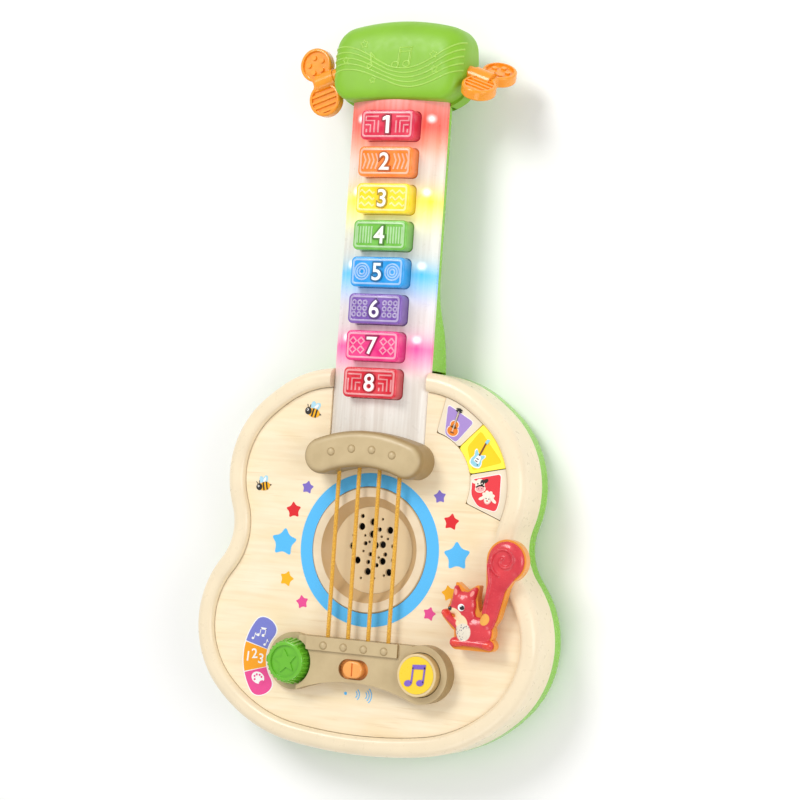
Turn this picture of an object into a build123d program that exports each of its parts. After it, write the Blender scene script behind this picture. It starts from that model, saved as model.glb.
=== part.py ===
from build123d import *
import os
from math import cos, radians, sin, sqrt

# Toy electric guitar, lying on its back. Millimetres.
# X runs across the body, Y from the body towards the head, Z out of the face.
# The origin is on the flat back, behind the centre of the sound hole.

os.makedirs("parts", exist_ok=True)

# ---------------------------------------------------------------- driving dimensions
wall = 2.4                      # general moulded wall
gap = 0.3                       # air between parts that move past each other
fit_gap = 0.05                  # radial running clearance of a shaft in its bore

# Levels above the flat back
parting_z = 17.0                # green back shell meets the cream frame
panel_top = 40.0
panel_thickness = 2.6
rim_top = 44.0
ledge_depth = 3.0               # ledge under the edge of the panel

# Body outline: right half, from the foot round to the neck, as (radius, turn in degrees)
body_foot_y = -117.0
body_arcs = [(278, 8.8), (88, 37.3), (58, 82.5), (31.5, -58.7), (58, 68.4), (120, 7.4), (65, 34.3)]
rim_width = 11.0
ledge_width = 3.5
rim_outer_round = 5.5
rim_inner_round = 3.4
back_round = 10.0

# Neck
neck_half = 30.2
neck_end_y = 262.6
neck_start_y = 61.0
neck_parting_z = 36.0
neck_side_top = 38.5            # the arched top of the neck starts here
neck_crown = 48.4
neck_back_z = 26.0
neck_back_round = 8.0
heel_points = [(156, 26), (128, 15.7), (98, 8.2)]     # (y, z) along the underside of the heel
heel_face_y = 104.3

# Keys
key_count = 8
key_pitch = 21.07
last_key_y = 95.0
key_width, key_height = 33.8, 17.2
key_top = 54.3
key_travel = 2.0
key_corner = 3.0

# Head
head_top_y = 304.6
head_front_arcs = [(134, 13.2), (14, 67.8), (64, 18), (15, 81)]
head_back_arcs = [(134, 13.2), (14, 67.8), (61, 24), (10, 41), (38, 34)]
head_front_z = 51.0
head_back_z = 20.5
head_front_round = 9.0
head_back_round = 7.5

# Tuning pegs
peg_waist = (53.4, 269.8, 36.0)
peg_tilt = 20.0                 # stems slope down and out from the head
peg_lobe_radius = 10.0
peg_lobe_along = 10.75
peg_shoulder_end, peg_flange_start, peg_stem_end = 9.4, 17.4, 19.0
peg_thickness = 6.4
peg_stem_radius = 4.8
peg_turned = {"left": 0.0, "right": -58.0}

# Strings, from the cover at the neck to the bridge
string_x = (-19.25, -6.4, 6.4, 19.25)
string_radius = 1.3
string_z = 46.3
string_top_y = 50.6
string_foot_y = -53.9
crimp_length, crimp_radius = 2.8, 2.2

# Cover over the upper string ends: a slot bent to an arc
nut_arc_centre_y, nut_arc_radius, nut_arc_turn = -15.5, 72.7, 43.6
nut_width = 20.8
nut_top = 58.5
stud_radius = 3.0

# Bridge
roundel_x, roundel_y, roundel_radius = 42.0, -67.0, 16.5
bridge_top_y, bridge_foot_y = -51.3, -75.4
bridge_bar_top = 49.7
strip_top, strip_foot_y = 51.5, -58.9
knob_well_radius = 14.4
knob_floor = 43.3
collar_top = 50.0
slot_length, slot_width, slot_y = 18.8, 11.4, -68.0

# Controls
knob_top, knob_radius, knob_base_radius = 54.0, 11.0, 12.8
knob_shaft_radius = 4.0
button_top, button_radius = 55.0, 12.2
button_travel = 2.5
slider_travel = 2.8
fan_centre = (31.5, 41.0)
fan_inner_radius = 29.0
fan_angles = (77.5, 44.7, 11.8, -21.0)
fan_top = 41.0
fan_travel = 1.2

# Lever
lever_pivot = (72.0, -40.0)
lever_low, lever_mid, lever_top = 45.0, 50.6, 53.0
lever_border = 0.9              # the base shows this far round the figure
lever_shaft_radius = 4.0

# Sound hole
bezel_radius, bezel_inner, grille_radius = 36.1, 30.4, 24.9
grille_top = 35.0

# Inside
board_z, board_thickness = 24.0, 1.6
mat_low = 31.0
battery_centre_y = -78.0
battery_radius, battery_length = 7.1, 48.5
battery_pitch = 15.4
door_width, door_length = 52.0, 57.0
screw_shank, screw_head = 1.3, 2.8
body_screw_points = [(83.5, 41.0), (97.3, -48.0), (55.5, -97.5), (54.5, 84.5)]


def both_sides(points):
    """The same points on both sides of the centre line."""
    return [(side * x, y) for x, y in points for side in (-1, 1)]


def save(builder, name):
    """Label a finished piece and write it to its own file."""
    builder.part.label = name
    export_step(builder.part, f"parts/{name}.step")


def arc_chain(start, arcs, turn_sign):
    """Closed outline: tangent arcs on the right, a straight run to the centre line, mirrored."""
    with BuildLine() as outline:
        point, heading = Vector(*start), Vector(1, 0)
        for radius, turn in arcs:
            arc = JernArc(point, heading, radius, turn_sign * turn)
            point, heading = arc @ 1, arc % 1
        Line(point, (0, point.Y))
        mirror(about=Plane.YZ)
    return outline.line


def region(outline, inset=0.0):
    """Face inside an outline, moved in by inset."""
    with BuildSketch() as sketch:
        add(outline)
        make_face()
        if inset:
            offset(amount=-inset)
    return sketch.sketch


def arched_section(half_width, low, side_top, crown):
    """Neck section on XZ: straight sides and an arched top."""
    with BuildSketch(Plane.XZ) as sketch:
        with BuildLine():
            ThreePointArc((-half_width, side_top), (0, crown), (half_width, side_top))
            Polyline(
                (half_width, side_top), (half_width, low), (-half_width, low), (-half_width, side_top)
            )
        make_face()
    return sketch.sketch


def prism_y(section, y_from, y_to):
    """Extrude a section drawn on XZ between two places along Y."""
    with BuildPart() as prism:
        with BuildSketch(Plane.XZ.offset(-y_from)):
            add(section)
        extrude(amount=y_from - y_to)
    return prism.part


body_outline = arc_chain((0, body_foot_y), body_arcs, 1)
body_face = region(body_outline)
body_inside = region(body_outline, wall)
panel_face = region(body_outline, rim_width + gap)
rim_inside = region(body_outline, rim_width)
ledge_inside = region(body_outline, rim_width + ledge_width)

panel_under = panel_top - panel_thickness
key_y = [last_key_y + key_pitch * (key_count - number) for number in range(1, key_count + 1)]


def fan_face(angle_from, angle_to, outer_inset, shrink, corner_radius=0.0):
    """One sector of the fan of buttons, bounded outside by the rim."""
    reach = 90.0
    middle = (angle_from + angle_to) / 2
    corners = [(0, 0)]
    for angle in (angle_to, middle, angle_from):
        stretch = reach if angle != middle else reach * 1.2
        corners.append((stretch * cos(radians(angle)), stretch * sin(radians(angle))))
    with BuildSketch() as sketch:
        add(region(body_outline, rim_width + outer_inset))
        with Locations(fan_centre):
            Polygon(*corners, align=None, mode=Mode.INTERSECT)
            Circle(fan_inner_radius, mode=Mode.SUBTRACT)
        if shrink:
            offset(amount=-shrink, kind=Kind.INTERSECTION)
        if corner_radius:
            inner_corners = sketch.vertices().sort_by_distance((*fan_centre, 0))[:2]
            fillet(inner_corners, corner_radius)
    return sketch.sketch


# ---------------------------------------------------------------- body frame: rim and side wall
with BuildPart() as body_frame:
    with BuildSketch(Plane.XY.offset(parting_z)):
        add(body_face)
    extrude(amount=rim_top - parting_z)
    fillet(body_frame.faces().sort_by(Axis.Z)[-1].outer_wire().edges(), rim_outer_round)
    with BuildSketch(Plane.XY.offset(panel_under)):
        add(rim_inside)
    extrude(amount=rim_top - panel_under, mode=Mode.SUBTRACT)
    fillet(body_frame.faces().sort_by(Axis.Z)[-1].inner_wires()[0].edges(), rim_inner_round)
    with BuildSketch(Plane.XY.offset(panel_under - ledge_depth)):
        add(ledge_inside)
    extrude(amount=ledge_depth, mode=Mode.SUBTRACT)
    with BuildSketch(Plane.XY.offset(parting_z)):
        add(body_inside)
    extrude(amount=panel_under - ledge_depth - parting_z, mode=Mode.SUBTRACT)
    # Screw bosses hang from the ledge beside the side wall
    with BuildSketch(Plane.XY.offset(parting_z)):
        with Locations(*both_sides(body_screw_points)):
            Circle(4.4)
        add(body_face, mode=Mode.INTERSECT)
    extrude(amount=panel_under - ledge_depth - parting_z)
    with BuildSketch(Plane.XY.offset(parting_z)):
        with Locations(*both_sides(body_screw_points)):
            Circle(screw_shank)
    extrude(amount=12.0, mode=Mode.SUBTRACT)
    # The neck passes through the rim, and its circuit board through the wall below
    with BuildSketch(Plane.XY.offset(panel_under - ledge_depth - 0.1)):
        with Locations((0, 100)):
            Rectangle(2 * (neck_half + gap), 30)
    extrude(amount=rim_top, mode=Mode.SUBTRACT)
    with BuildSketch(Plane.XY.offset(mat_low - 2.2)):
        with Locations((0, 100)):
            Rectangle(52, 30)
    extrude(amount=8, mode=Mode.SUBTRACT)
    # Room for the fan of buttons to travel
    with BuildSketch(Plane.XY.offset(panel_under - ledge_depth)):
        add(fan_face(fan_angles[0], fan_angles[-1], 0.0, 0.0))
    extrude(amount=ledge_depth, mode=Mode.SUBTRACT)
save(body_frame, "body_frame")

# ---------------------------------------------------------------- front panel
with BuildPart() as front_panel:
    with BuildSketch(Plane.XY.offset(panel_under)):
        add(panel_face)
        Circle(bezel_radius + gap, mode=Mode.SUBTRACT)
        with Locations((0, neck_start_y + 40)):
            Rectangle(2 * (neck_half + gap), 80 + 2 * gap, mode=Mode.SUBTRACT)
        add(fan_face(fan_angles[0], fan_angles[-1], -1.0, -gap), mode=Mode.SUBTRACT)
        with Locations((-roundel_x, roundel_y)):
            Circle(knob_shaft_radius + 2 * gap, mode=Mode.SUBTRACT)
        with Locations((roundel_x, roundel_y)):
            Circle(4.5, mode=Mode.SUBTRACT)
        with Locations((0, slot_y)):
            SlotOverall(12.0, 5.0, mode=Mode.SUBTRACT)
        with Locations(lever_pivot):
            Circle(lever_shaft_radius + fit_gap, mode=Mode.SUBTRACT)
    extrude(amount=panel_thickness)
save(front_panel, "front_panel")

# ---------------------------------------------------------------- back shell with the neck's back
with BuildPart() as neck_back_block:
    with BuildSketch(Plane.YZ):
        with BuildLine():
            Spline(*heel_points, tangents=[(-1, 0), (-1, -0.28)])
            Polyline(
                heel_points[-1],
                (heel_points[-1][0], neck_parting_z),
                (neck_end_y, neck_parting_z),
                (neck_end_y, neck_back_z),
                heel_points[0],
            )
        make_face()
    extrude(amount=neck_half - 0.2, both=True)
    fillet(
        neck_back_block.faces().filter_by(Axis.Z, reverse=True).filter_by(Axis.X).edges()
        .filter_by(lambda edge: edge.center().Z < neck_parting_z - 1 and edge.length > 30
                   and abs(edge.tangent_at(0.5).Y) > 0.5),
        neck_back_round,
    )

with BuildPart() as neck_back_inside:
    with BuildSketch(Plane.YZ):
        with BuildLine():
            Spline(*[(y, z + wall) for y, z in heel_points], tangents=[(-1, 0), (-1, -0.28)])
            Polyline(
                (heel_points[-1][0], heel_points[-1][1] + wall),
                (heel_points[-1][0], neck_parting_z + 1),
                (neck_end_y - wall, neck_parting_z + 1),
                (neck_end_y - wall, neck_back_z + wall),
                (heel_points[0][0], neck_back_z + wall),
            )
        make_face()
    extrude(amount=neck_half - 0.2 - wall, both=True)

with BuildPart() as back_tray:
    with BuildSketch():
        add(body_face)
    extrude(amount=parting_z)
    fillet(back_tray.faces().sort_by(Axis.Z)[0].outer_wire().edges(), back_round)

# Columns for the screws, kept inside the tray's rounded edge
with BuildPart() as screw_columns:
    with BuildSketch(Plane.XY.offset(wall)):
        with Locations(*both_sides(body_screw_points)):
            Circle(5.2)
    extrude(amount=parting_z - wall)
    add(back_tray.part, mode=Mode.INTERSECT)

with BuildPart() as back_shell:
    add(back_tray.part)
    add(neck_back_block.part)
    # The frame's end wall stands in front of the heel
    with Locations((0, heel_face_y - 20, parting_z + 15)):
        Box(80, 40, 30, mode=Mode.SUBTRACT)
    with BuildSketch(Plane.XY.offset(wall)):
        add(region(body_outline, back_round - 2.0))
    extrude(amount=back_round, mode=Mode.SUBTRACT)
    with BuildSketch(Plane.XY.offset(back_round)):
        add(body_inside)
    extrude(amount=parting_z, mode=Mode.SUBTRACT)
    add(neck_back_inside.part, mode=Mode.SUBTRACT)
    add(screw_columns.part)
    with BuildSketch():
        with Locations(*both_sides(body_screw_points)):
            Circle(screw_shank + 0.3)
    extrude(amount=parting_z + 1, mode=Mode.SUBTRACT)
    with BuildSketch():
        with Locations(*both_sides(body_screw_points)):
            Circle(screw_head + 0.5)
    extrude(amount=9.0, mode=Mode.SUBTRACT)
    # Opening for the battery door
    with BuildSketch():
        with Locations((0, battery_centre_y)):
            RectangleRounded(door_width + 0.4, door_length + 0.4, 3.2)
    extrude(amount=wall, mode=Mode.SUBTRACT)
save(back_shell, "back_shell")

# ---------------------------------------------------------------- neck light cover
with BuildPart() as neck_light_cover:
    add(prism_y(arched_section(neck_half, neck_parting_z, neck_side_top, neck_crown), neck_start_y, neck_end_y))
    add(
        prism_y(
            arched_section(neck_half - 2, neck_parting_z - 1, neck_side_top - 2, neck_crown - 2),
            neck_start_y + 2,
            neck_end_y - 2,
        ),
        mode=Mode.SUBTRACT,
    )
    with BuildSketch(Plane.XY.offset(neck_parting_z)):
        with Locations(*[(0, y) for y in key_y]):
            RectangleRounded(key_width + 2 * gap, key_height + 2 * gap, key_corner)
    extrude(amount=neck_crown, mode=Mode.SUBTRACT)
save(neck_light_cover, "neck_light_cover")


# ---------------------------------------------------------------- light-up keys
def piano_key(y):
    """Hollow cap with a flange that sits under the cover and a plunger over its dome."""
    flange_low, flange_high = 38.6, 39.8
    with BuildPart() as key:
        with BuildSketch(Plane.XY.offset(flange_low)):
            with Locations((0, y)):
                RectangleRounded(40.2, 19.6, key_corner)
        extrude(amount=flange_high - flange_low)
        with BuildSketch(Plane.XY.offset(flange_high)):
            with Locations((0, y)):
                RectangleRounded(key_width, key_height, key_corner)
        extrude(amount=key_top - flange_high)
        fillet(key.faces().sort_by(Axis.Z)[-1].edges(), 1.1)
        with BuildSketch(Plane.XY.offset(flange_low)):
            with Locations((0, y)):
                RectangleRounded(key_width - 3.2, key_height - 3.2, 1.6)
        extrude(amount=key_top - flange_low - 1.8, mode=Mode.SUBTRACT)
        with BuildSketch(Plane.XY.offset(36.3)):
            with Locations((0, y)):
                Circle(2.6)
        extrude(amount=key_top - 1.0 - 36.3)
    return key


for number, y in enumerate(key_y, start=1):
    save(piano_key(y), f"key_{number}")

# Silicone mat with one dome under each key
with BuildPart() as key_dome_mat:
    mat_length = key_pitch * (key_count - 1) + 16
    with BuildSketch(Plane.XY.offset(mat_low)):
        with Locations((0, sum(key_y) / key_count)):
            Rectangle(26, mat_length)
    extrude(amount=0.8)
    with BuildSketch(Plane.XY.offset(mat_low)):
        with Locations(*[(0, y) for y in key_y]):
            Circle(5.5)
    extrude(amount=2.8, taper=20)
save(key_dome_mat, "key_dome_mat")

with BuildPart() as neck_circuit_board:
    with BuildSketch(Plane.XY.offset(mat_low - board_thickness)):
        with Locations((0, sum(key_y) / key_count)):
            Rectangle(50, mat_length + 6)
    extrude(amount=board_thickness)
save(neck_circuit_board, "neck_circuit_board")

with BuildPart() as neck_leds:
    with BuildSketch(Plane.XY.offset(mat_low)):
        with Locations(*[(side * 22.5, key_y[row]) for row in (0, 2, 4, 6) for side in (-1, 1)]):
            Rectangle(3.5, 3.5)
    extrude(amount=1.9)
save(neck_leds, "neck_leds")


# ---------------------------------------------------------------- head shells
def head_block(arcs, low, high, inset, round_radius, round_top):
    """Rounded block with the head's outline between two levels."""
    with BuildPart() as block:
        with BuildSketch(Plane.XY.offset(low)):
            add(region(arc_chain((0, head_top_y), arcs, -1), inset))
        extrude(amount=high - low)
        rounded = block.faces().sort_by(Axis.Z)[-1 if round_top else 0]
        fillet(rounded.edges(), round_radius)
    return block.part


with BuildPart() as neck_clearance:
    add(
        prism_y(
            arched_section(neck_half + gap, neck_back_z - gap, neck_side_top + gap, neck_crown + gap),
            240,
            neck_end_y + gap,
        )
    )

peg_axis = {}
for side_name, side in (("left", -1), ("right", 1)):
    out = Vector(side * cos(radians(peg_tilt)), -sin(radians(peg_tilt)), 0)
    up = Vector(side * sin(radians(peg_tilt)), cos(radians(peg_tilt)), 0)
    peg_axis[side_name] = (Vector(side * peg_waist[0], peg_waist[1], peg_waist[2]), out, up)


def peg_bore(side_name, radius):
    """Cylinder along a peg's axis, from outside the head to behind its wall."""
    waist, out, up = peg_axis[side_name]
    with BuildPart() as bore:
        with BuildSketch(Plane(origin=waist, x_dir=up, z_dir=out * -1)):
            Circle(radius)
        extrude(amount=peg_flange_start - 0.2)
    return bore.part


post_points = both_sides([(30.5, 289.5)])

with BuildPart() as head_front:
    add(head_block(head_front_arcs, neck_parting_z, head_front_z, 0.0, head_front_round, True))
    add(
        head_block(head_front_arcs, neck_parting_z, head_front_z - wall, wall, head_front_round - wall, True),
        mode=Mode.SUBTRACT,
    )
    with BuildSketch(Plane.XY.offset(neck_parting_z)):
        with Locations(*post_points):
            Circle(3.4)
    extrude(amount=head_front_z - wall - neck_parting_z)
    with BuildSketch(Plane.XY.offset(neck_parting_z)):
        with Locations(*post_points):
            Circle(screw_shank)
    extrude(amount=8.0, mode=Mode.SUBTRACT)
    add(neck_clearance.part, mode=Mode.SUBTRACT)
    for side_name in peg_axis:
        add(peg_bore(side_name, peg_stem_radius + fit_gap), mode=Mode.SUBTRACT)
save(head_front, "head_front")

with BuildPart() as head_back:
    add(head_block(head_back_arcs, head_back_z, neck_parting_z, 0.0, head_back_round, False))
    add(
        head_block(head_back_arcs, head_back_z + wall, neck_parting_z, wall, head_back_round - wall, False),
        mode=Mode.SUBTRACT,
    )
    with BuildSketch(Plane.XY.offset(head_back_z + 1)):
        with Locations(*post_points):
            Circle(4.6)
    extrude(amount=neck_parting_z - head_back_z - 1)
    with BuildSketch(Plane.XY.offset(head_back_z)):
        with Locations(*post_points):
            Circle(screw_head + 0.4)
    extrude(amount=5.0, mode=Mode.SUBTRACT)
    with BuildSketch(Plane.XY.offset(head_back_z)):
        with Locations(*post_points):
            Circle(screw_shank + 0.2)
    extrude(amount=20.0, mode=Mode.SUBTRACT)
    add(neck_clearance.part, mode=Mode.SUBTRACT)
    for side_name in peg_axis:
        add(peg_bore(side_name, peg_stem_radius + fit_gap), mode=Mode.SUBTRACT)
save(head_back, "head_back")


# ---------------------------------------------------------------- tuning pegs
def tuning_peg(side_name):
    """Figure-of-eight paddle with dished lobes on a stem trapped in the head."""
    waist, out, up = peg_axis[side_name]
    turn_axis = Axis((0, 0, 0), (out.X, out.Y, out.Z))
    along = up.rotate(turn_axis, peg_turned[side_name])
    face = along.cross(out)
    paddle = Plane(origin=waist, x_dir=along, z_dir=face)
    lobes = [(peg_lobe_along, 0), (-peg_lobe_along, 0)]
    half = peg_thickness / 2
    dish_radius, dish_depth = 8.2, 1.4
    with BuildPart() as peg:
        with BuildSketch(paddle) as outline:
            with Locations(*lobes):
                Circle(peg_lobe_radius)
            SlotCenterToCenter(16.0, 9.5)
            fillet([vertex for vertex in outline.vertices() if abs(vertex.X) < 8], 2.0)
        extrude(amount=half, both=True)
        fillet(peg.faces().filter_by(Axis((0, 0, 0), (face.X, face.Y, face.Z))).edges(), 1.2)
        for level, direction in ((half - dish_depth, 1), (dish_depth - half, -1)):
            with BuildSketch(paddle.offset(level)):
                with Locations(*lobes):
                    Circle(dish_radius)
            extrude(amount=direction * dish_depth, mode=Mode.SUBTRACT)
            with BuildSketch(paddle.offset(level)):
                with Locations(lobes[0]):
                    with PolarLocations(4.6, 5):
                        Circle(1.5)
            extrude(amount=direction * 1.1)
            with BuildSketch(paddle.offset(level)):
                with Locations(lobes[1]):
                    with GridLocations(3.4, 1, 5, 1):
                        Rectangle(1.3, 20)
                    Circle(dish_radius, mode=Mode.INTERSECT)
            extrude(amount=direction * 1.1)
        # Shoulder outside the wall, stem through it, flange behind it
        for start, end, radius in (
            (-2.0, peg_shoulder_end, 5.6), (peg_shoulder_end, peg_stem_end, peg_stem_radius),
            (peg_flange_start, peg_stem_end, 6.2),
        ):
            with BuildSketch(Plane(origin=waist - out * start, x_dir=face, z_dir=out * -1)):
                Circle(radius)
            extrude(amount=end - start)
    return peg


for side_name in peg_axis:
    save(tuning_peg(side_name), f"tuning_peg_{side_name}")

# ---------------------------------------------------------------- cover over the upper string ends
with BuildLine() as nut_line:
    nut_arc = CenterArc((0, nut_arc_centre_y), nut_arc_radius, 90 - nut_arc_turn / 2, nut_arc_turn)


def nut_stud_y(x):
    """Height of the cover's centre line at x."""
    return nut_arc_centre_y + sqrt(nut_arc_radius ** 2 - x ** 2)


with BuildPart() as nut_cover:
    with BuildSketch(Plane.XY.offset(panel_top)):
        SlotArc(nut_arc, nut_width)
    extrude(amount=nut_top - panel_top)
    fillet(nut_cover.faces().sort_by(Axis.Z)[-1].edges(), 4.2)
    with BuildSketch(Plane.XY.offset(panel_top)):
        SlotArc(nut_arc, nut_width - 2 * wall)
    extrude(amount=nut_top - panel_top - 3.4, mode=Mode.SUBTRACT)
    with Locations(*[(x, nut_stud_y(x), nut_top - 0.3) for x in string_x]):
        Sphere(stud_radius, arc_size1=0)
    with BuildSketch(Plane.XZ.offset(-40)):
        with Locations(*[(x, string_z) for x in string_x]):
            Circle(string_radius + gap)
    extrude(amount=-13, mode=Mode.SUBTRACT)
    add(
        prism_y(
            arched_section(neck_half + gap, neck_parting_z, neck_side_top + gap, neck_crown + gap),
            neck_start_y - gap,
            80,
        ),
        mode=Mode.SUBTRACT,
    )
save(nut_cover, "nut_cover")

# ---------------------------------------------------------------- bridge
roundel_touch_x, roundel_touch_y = 36.0, -82.4

with BuildSketch() as bridge_bar:
    with BuildLine():
        ThreePointArc((-roundel_touch_x, roundel_touch_y), (0, bridge_foot_y), (roundel_touch_x, roundel_touch_y))
        Polyline(
            (roundel_touch_x, roundel_touch_y),
            (roundel_touch_x, bridge_top_y),
            (-roundel_touch_x, bridge_top_y),
            (-roundel_touch_x, roundel_touch_y),
        )
    make_face()

with BuildSketch() as bridge_bar_clear:
    add(bridge_bar.sketch)
    with Locations((-roundel_x, roundel_y)):
        Circle(knob_well_radius, mode=Mode.SUBTRACT)

with BuildPart() as bridge_cover:
    with BuildSketch(Plane.XY.offset(panel_top)):
        add(bridge_bar.sketch)
        with Locations((-roundel_x, roundel_y)):
            Circle(roundel_radius)
    extrude(amount=knob_floor - panel_top)
    with BuildSketch(Plane.XY.offset(panel_top)):
        add(bridge_bar_clear.sketch)
    extrude(amount=bridge_bar_top - panel_top)
    with BuildSketch(Plane.XY.offset(panel_top)):
        with Locations((roundel_x, roundel_y)):
            Circle(roundel_radius)
    extrude(amount=collar_top - panel_top)
    with BuildSketch(Plane.XY.offset(panel_top)):
        with Locations((-1.5, (bridge_top_y + strip_foot_y) / 2)):
            Rectangle(58, bridge_top_y - strip_foot_y)
        with Locations((-roundel_x, roundel_y)):
            Circle(knob_well_radius, mode=Mode.SUBTRACT)
    extrude(amount=strip_top - panel_top)
    # Hollow underneath, and a deeper pocket behind the string wall
    with BuildSketch(Plane.XY.offset(panel_top)):
        with Locations((0, -65.9)):
            Rectangle(46, 17.4)
    extrude(amount=bridge_bar_top - wall - panel_top, mode=Mode.SUBTRACT)
    with BuildSketch(Plane.XY.offset(panel_top)):
        with Locations((0, -56.4)):
            Rectangle(46, 5.2)
    extrude(amount=strip_top - wall - panel_top, mode=Mode.SUBTRACT)
    with BuildSketch(Plane.XY.offset(panel_top)):
        with Locations((0, slot_y)):
            SlotOverall(slot_length, slot_width)
    extrude(amount=20, mode=Mode.SUBTRACT)
    with BuildSketch(Plane.XY.offset(panel_top)):
        with Locations((-roundel_x, roundel_y)):
            Circle(knob_shaft_radius + fit_gap)
    extrude(amount=20, mode=Mode.SUBTRACT)
    # Stepped bore that keeps the music button in
    with BuildSketch(Plane.XY.offset(panel_top)):
        with Locations((roundel_x, roundel_y)):
            Circle(14.8)
    extrude(amount=6.8, mode=Mode.SUBTRACT)
    with BuildSketch(Plane.XY.offset(panel_top)):
        with Locations((roundel_x, roundel_y)):
            Circle(12.7)
    extrude(amount=20, mode=Mode.SUBTRACT)
    with Locations(*[(x, -56.0, strip_top - 0.3) for x in string_x]):
        Sphere(stud_radius, arc_size1=0)
    with BuildSketch(Plane.XZ.offset(45)):
        with Locations(*[(x, string_z) for x in string_x]):
            Circle(string_radius + gap)
    extrude(amount=10, mode=Mode.SUBTRACT)
save(bridge_cover, "bridge_cover")

# ---------------------------------------------------------------- strings and the crimps on their ends
for number, x in enumerate(string_x, start=1):
    with BuildPart() as string:
        with BuildSketch(Plane.XZ.offset(-string_foot_y)):
            with Locations((x, string_z)):
                Circle(string_radius)
        extrude(amount=string_foot_y - string_top_y)
    save(string, f"string_{number}")

with BuildPart() as string_crimps:
    for plane_y, direction in ((string_top_y, -1), (string_foot_y, 1)):
        with BuildSketch(Plane.XZ.offset(-plane_y)):
            with Locations(*[(x, string_z) for x in string_x]):
                Circle(crimp_radius)
        extrude(amount=direction * crimp_length)
save(string_crimps, "string_crimps")

# ---------------------------------------------------------------- sound hole
with BuildPart() as speaker_bezel:
    with BuildSketch(Plane.XZ):
        with BuildLine():
            Polyline(
                (grille_radius + 0.1, 33.2),
                (28.0, 33.2),
                (31.5, 35.6),
                (39.0, 35.6),
                (39.0, panel_under - 0.1),
                (bezel_radius, panel_under - 0.1),
                (bezel_radius, 40.2),
                (bezel_radius - 0.6, 40.8),
                (bezel_inner, 40.8),
                (grille_radius + 0.1, grille_top),
                (grille_radius + 0.1, 33.2),
            )
        make_face()
    revolve(axis=Axis.Z)
save(speaker_bezel, "speaker_bezel")

big_holes = [(-8, 13), (-1, 16), (-1, 9), (10, 12), (6, 3.5), (-13, 1.5), (-9.5, -6.5), (-2.5, -12.5),
             (6.5, -6), (11, -12), (1.5, 2.8)]
middle_holes = [(-12.5, 7.5), (12.5, 3), (-1.5, -2.5), (-2.5, -7), (3, -8.5), (3.5, 12), (8, -2),
                (-5, 3.5), (13, -5), (-8, 19)]
small_holes = [(-2.5, 4.5), (9, 7), (4, -4), (-5.5, 8), (8, -14), (-6, -1), (2, -16), (14, 8), (5, 8),
               (-6.5, -16.5), (5, 18)]

with BuildPart() as speaker_grille:
    with BuildSketch(Plane.XY.offset(grille_top - 1.8)):
        Circle(grille_radius)
        for points, radius in ((big_holes, 2.1), (middle_holes, 1.3), (small_holes, 0.8)):
            with Locations(*points):
                Circle(radius, mode=Mode.SUBTRACT)
    extrude(amount=1.8)
save(speaker_grille, "speaker_grille")

with BuildPart() as speaker_basket:
    with BuildSketch(Plane.XZ):
        with BuildLine():
            Polyline(
                (26.5, 30.4), (26.5, 32.0), (23.5, 32.0), (23.5, 30.8), (14.0, 21.4), (9.0, 21.4),
                (9.0, 20.0), (14.6, 20.0), (24.6, 30.4), (26.5, 30.4),
            )
        make_face()
    revolve(axis=Axis.Z)
save(speaker_basket, "speaker_basket")

with BuildPart() as speaker_cone:
    with BuildSketch(Plane.XZ):
        with BuildLine():
            Polyline(
                (0, 27.2), (5.0, 26.0), (8.0, 24.2), (20.5, 30.2), (22.8, 30.9), (22.8, 31.5),
                (20.2, 30.9), (8.0, 24.9), (5.2, 26.6), (0, 27.8), (0, 27.2),
            )
        make_face()
    revolve(axis=Axis.Z)
save(speaker_cone, "speaker_cone")

with BuildPart() as speaker_magnet:
    with BuildSketch(Plane.XY.offset(12.0)):
        Circle(15.0)
    extrude(amount=8.0)
    with BuildSketch(Plane.XY.offset(20.0)):
        Circle(8.9)
    extrude(amount=1.6)
save(speaker_magnet, "speaker_magnet")


# ---------------------------------------------------------------- mode knob
def star_points(outer, inner, turn):
    """Corners of a five-pointed star."""
    corners = []
    for step in range(10):
        radius = outer if step % 2 == 0 else inner
        angle = radians(turn + 36 * step)
        corners.append((radius * cos(angle), radius * sin(angle)))
    return corners


knob_low = knob_floor + gap
knob_place = (-roundel_x, roundel_y)
knob_dish = 1.3
with BuildPart() as mode_knob:
    with BuildSketch(Plane.XY.offset(knob_low)):
        with Locations(knob_place):
            Circle(knob_base_radius)
    extrude(amount=knob_top - knob_low, taper=9)
    fillet(mode_knob.faces().sort_by(Axis.Z)[-1].edges(), 0.8)
    # Finger grooves round the flank, fading out towards the top
    with BuildSketch(Plane.XY.offset(knob_low)):
        with Locations(knob_place):
            with PolarLocations(knob_base_radius + 0.35, 26):
                Circle(1.0)
    extrude(amount=knob_top - knob_low - 2.0, mode=Mode.SUBTRACT)
    with BuildSketch(Plane.XY.offset(knob_top - knob_dish)):
        with Locations(knob_place):
            Circle(knob_radius - 1.7)
    extrude(amount=knob_dish, mode=Mode.SUBTRACT)
    with BuildSketch(Plane.XY.offset(knob_top - knob_dish)):
        with Locations(knob_place):
            Polygon(*star_points(7.2, 3.3, 100), align=None)
    extrude(amount=0.9)
    # Pointer and shaft
    with BuildSketch(Plane.XY.offset(knob_low)):
        with Locations(knob_place):
            Polygon((-11.5, -3.2), (-15.8, -1.6), (-15.8, 1.6), (-11.5, 3.2), align=None)
    extrude(amount=3.2)
    with BuildSketch(Plane.XY.offset(33.0)):
        with Locations(knob_place):
            Circle(knob_shaft_radius)
    extrude(amount=knob_low - 33.0)
    with BuildSketch(Plane.XY.offset(28.0)):
        with Locations(knob_place):
            Circle(2.5)
    extrude(amount=5.0)
save(mode_knob, "mode_knob")

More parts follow.
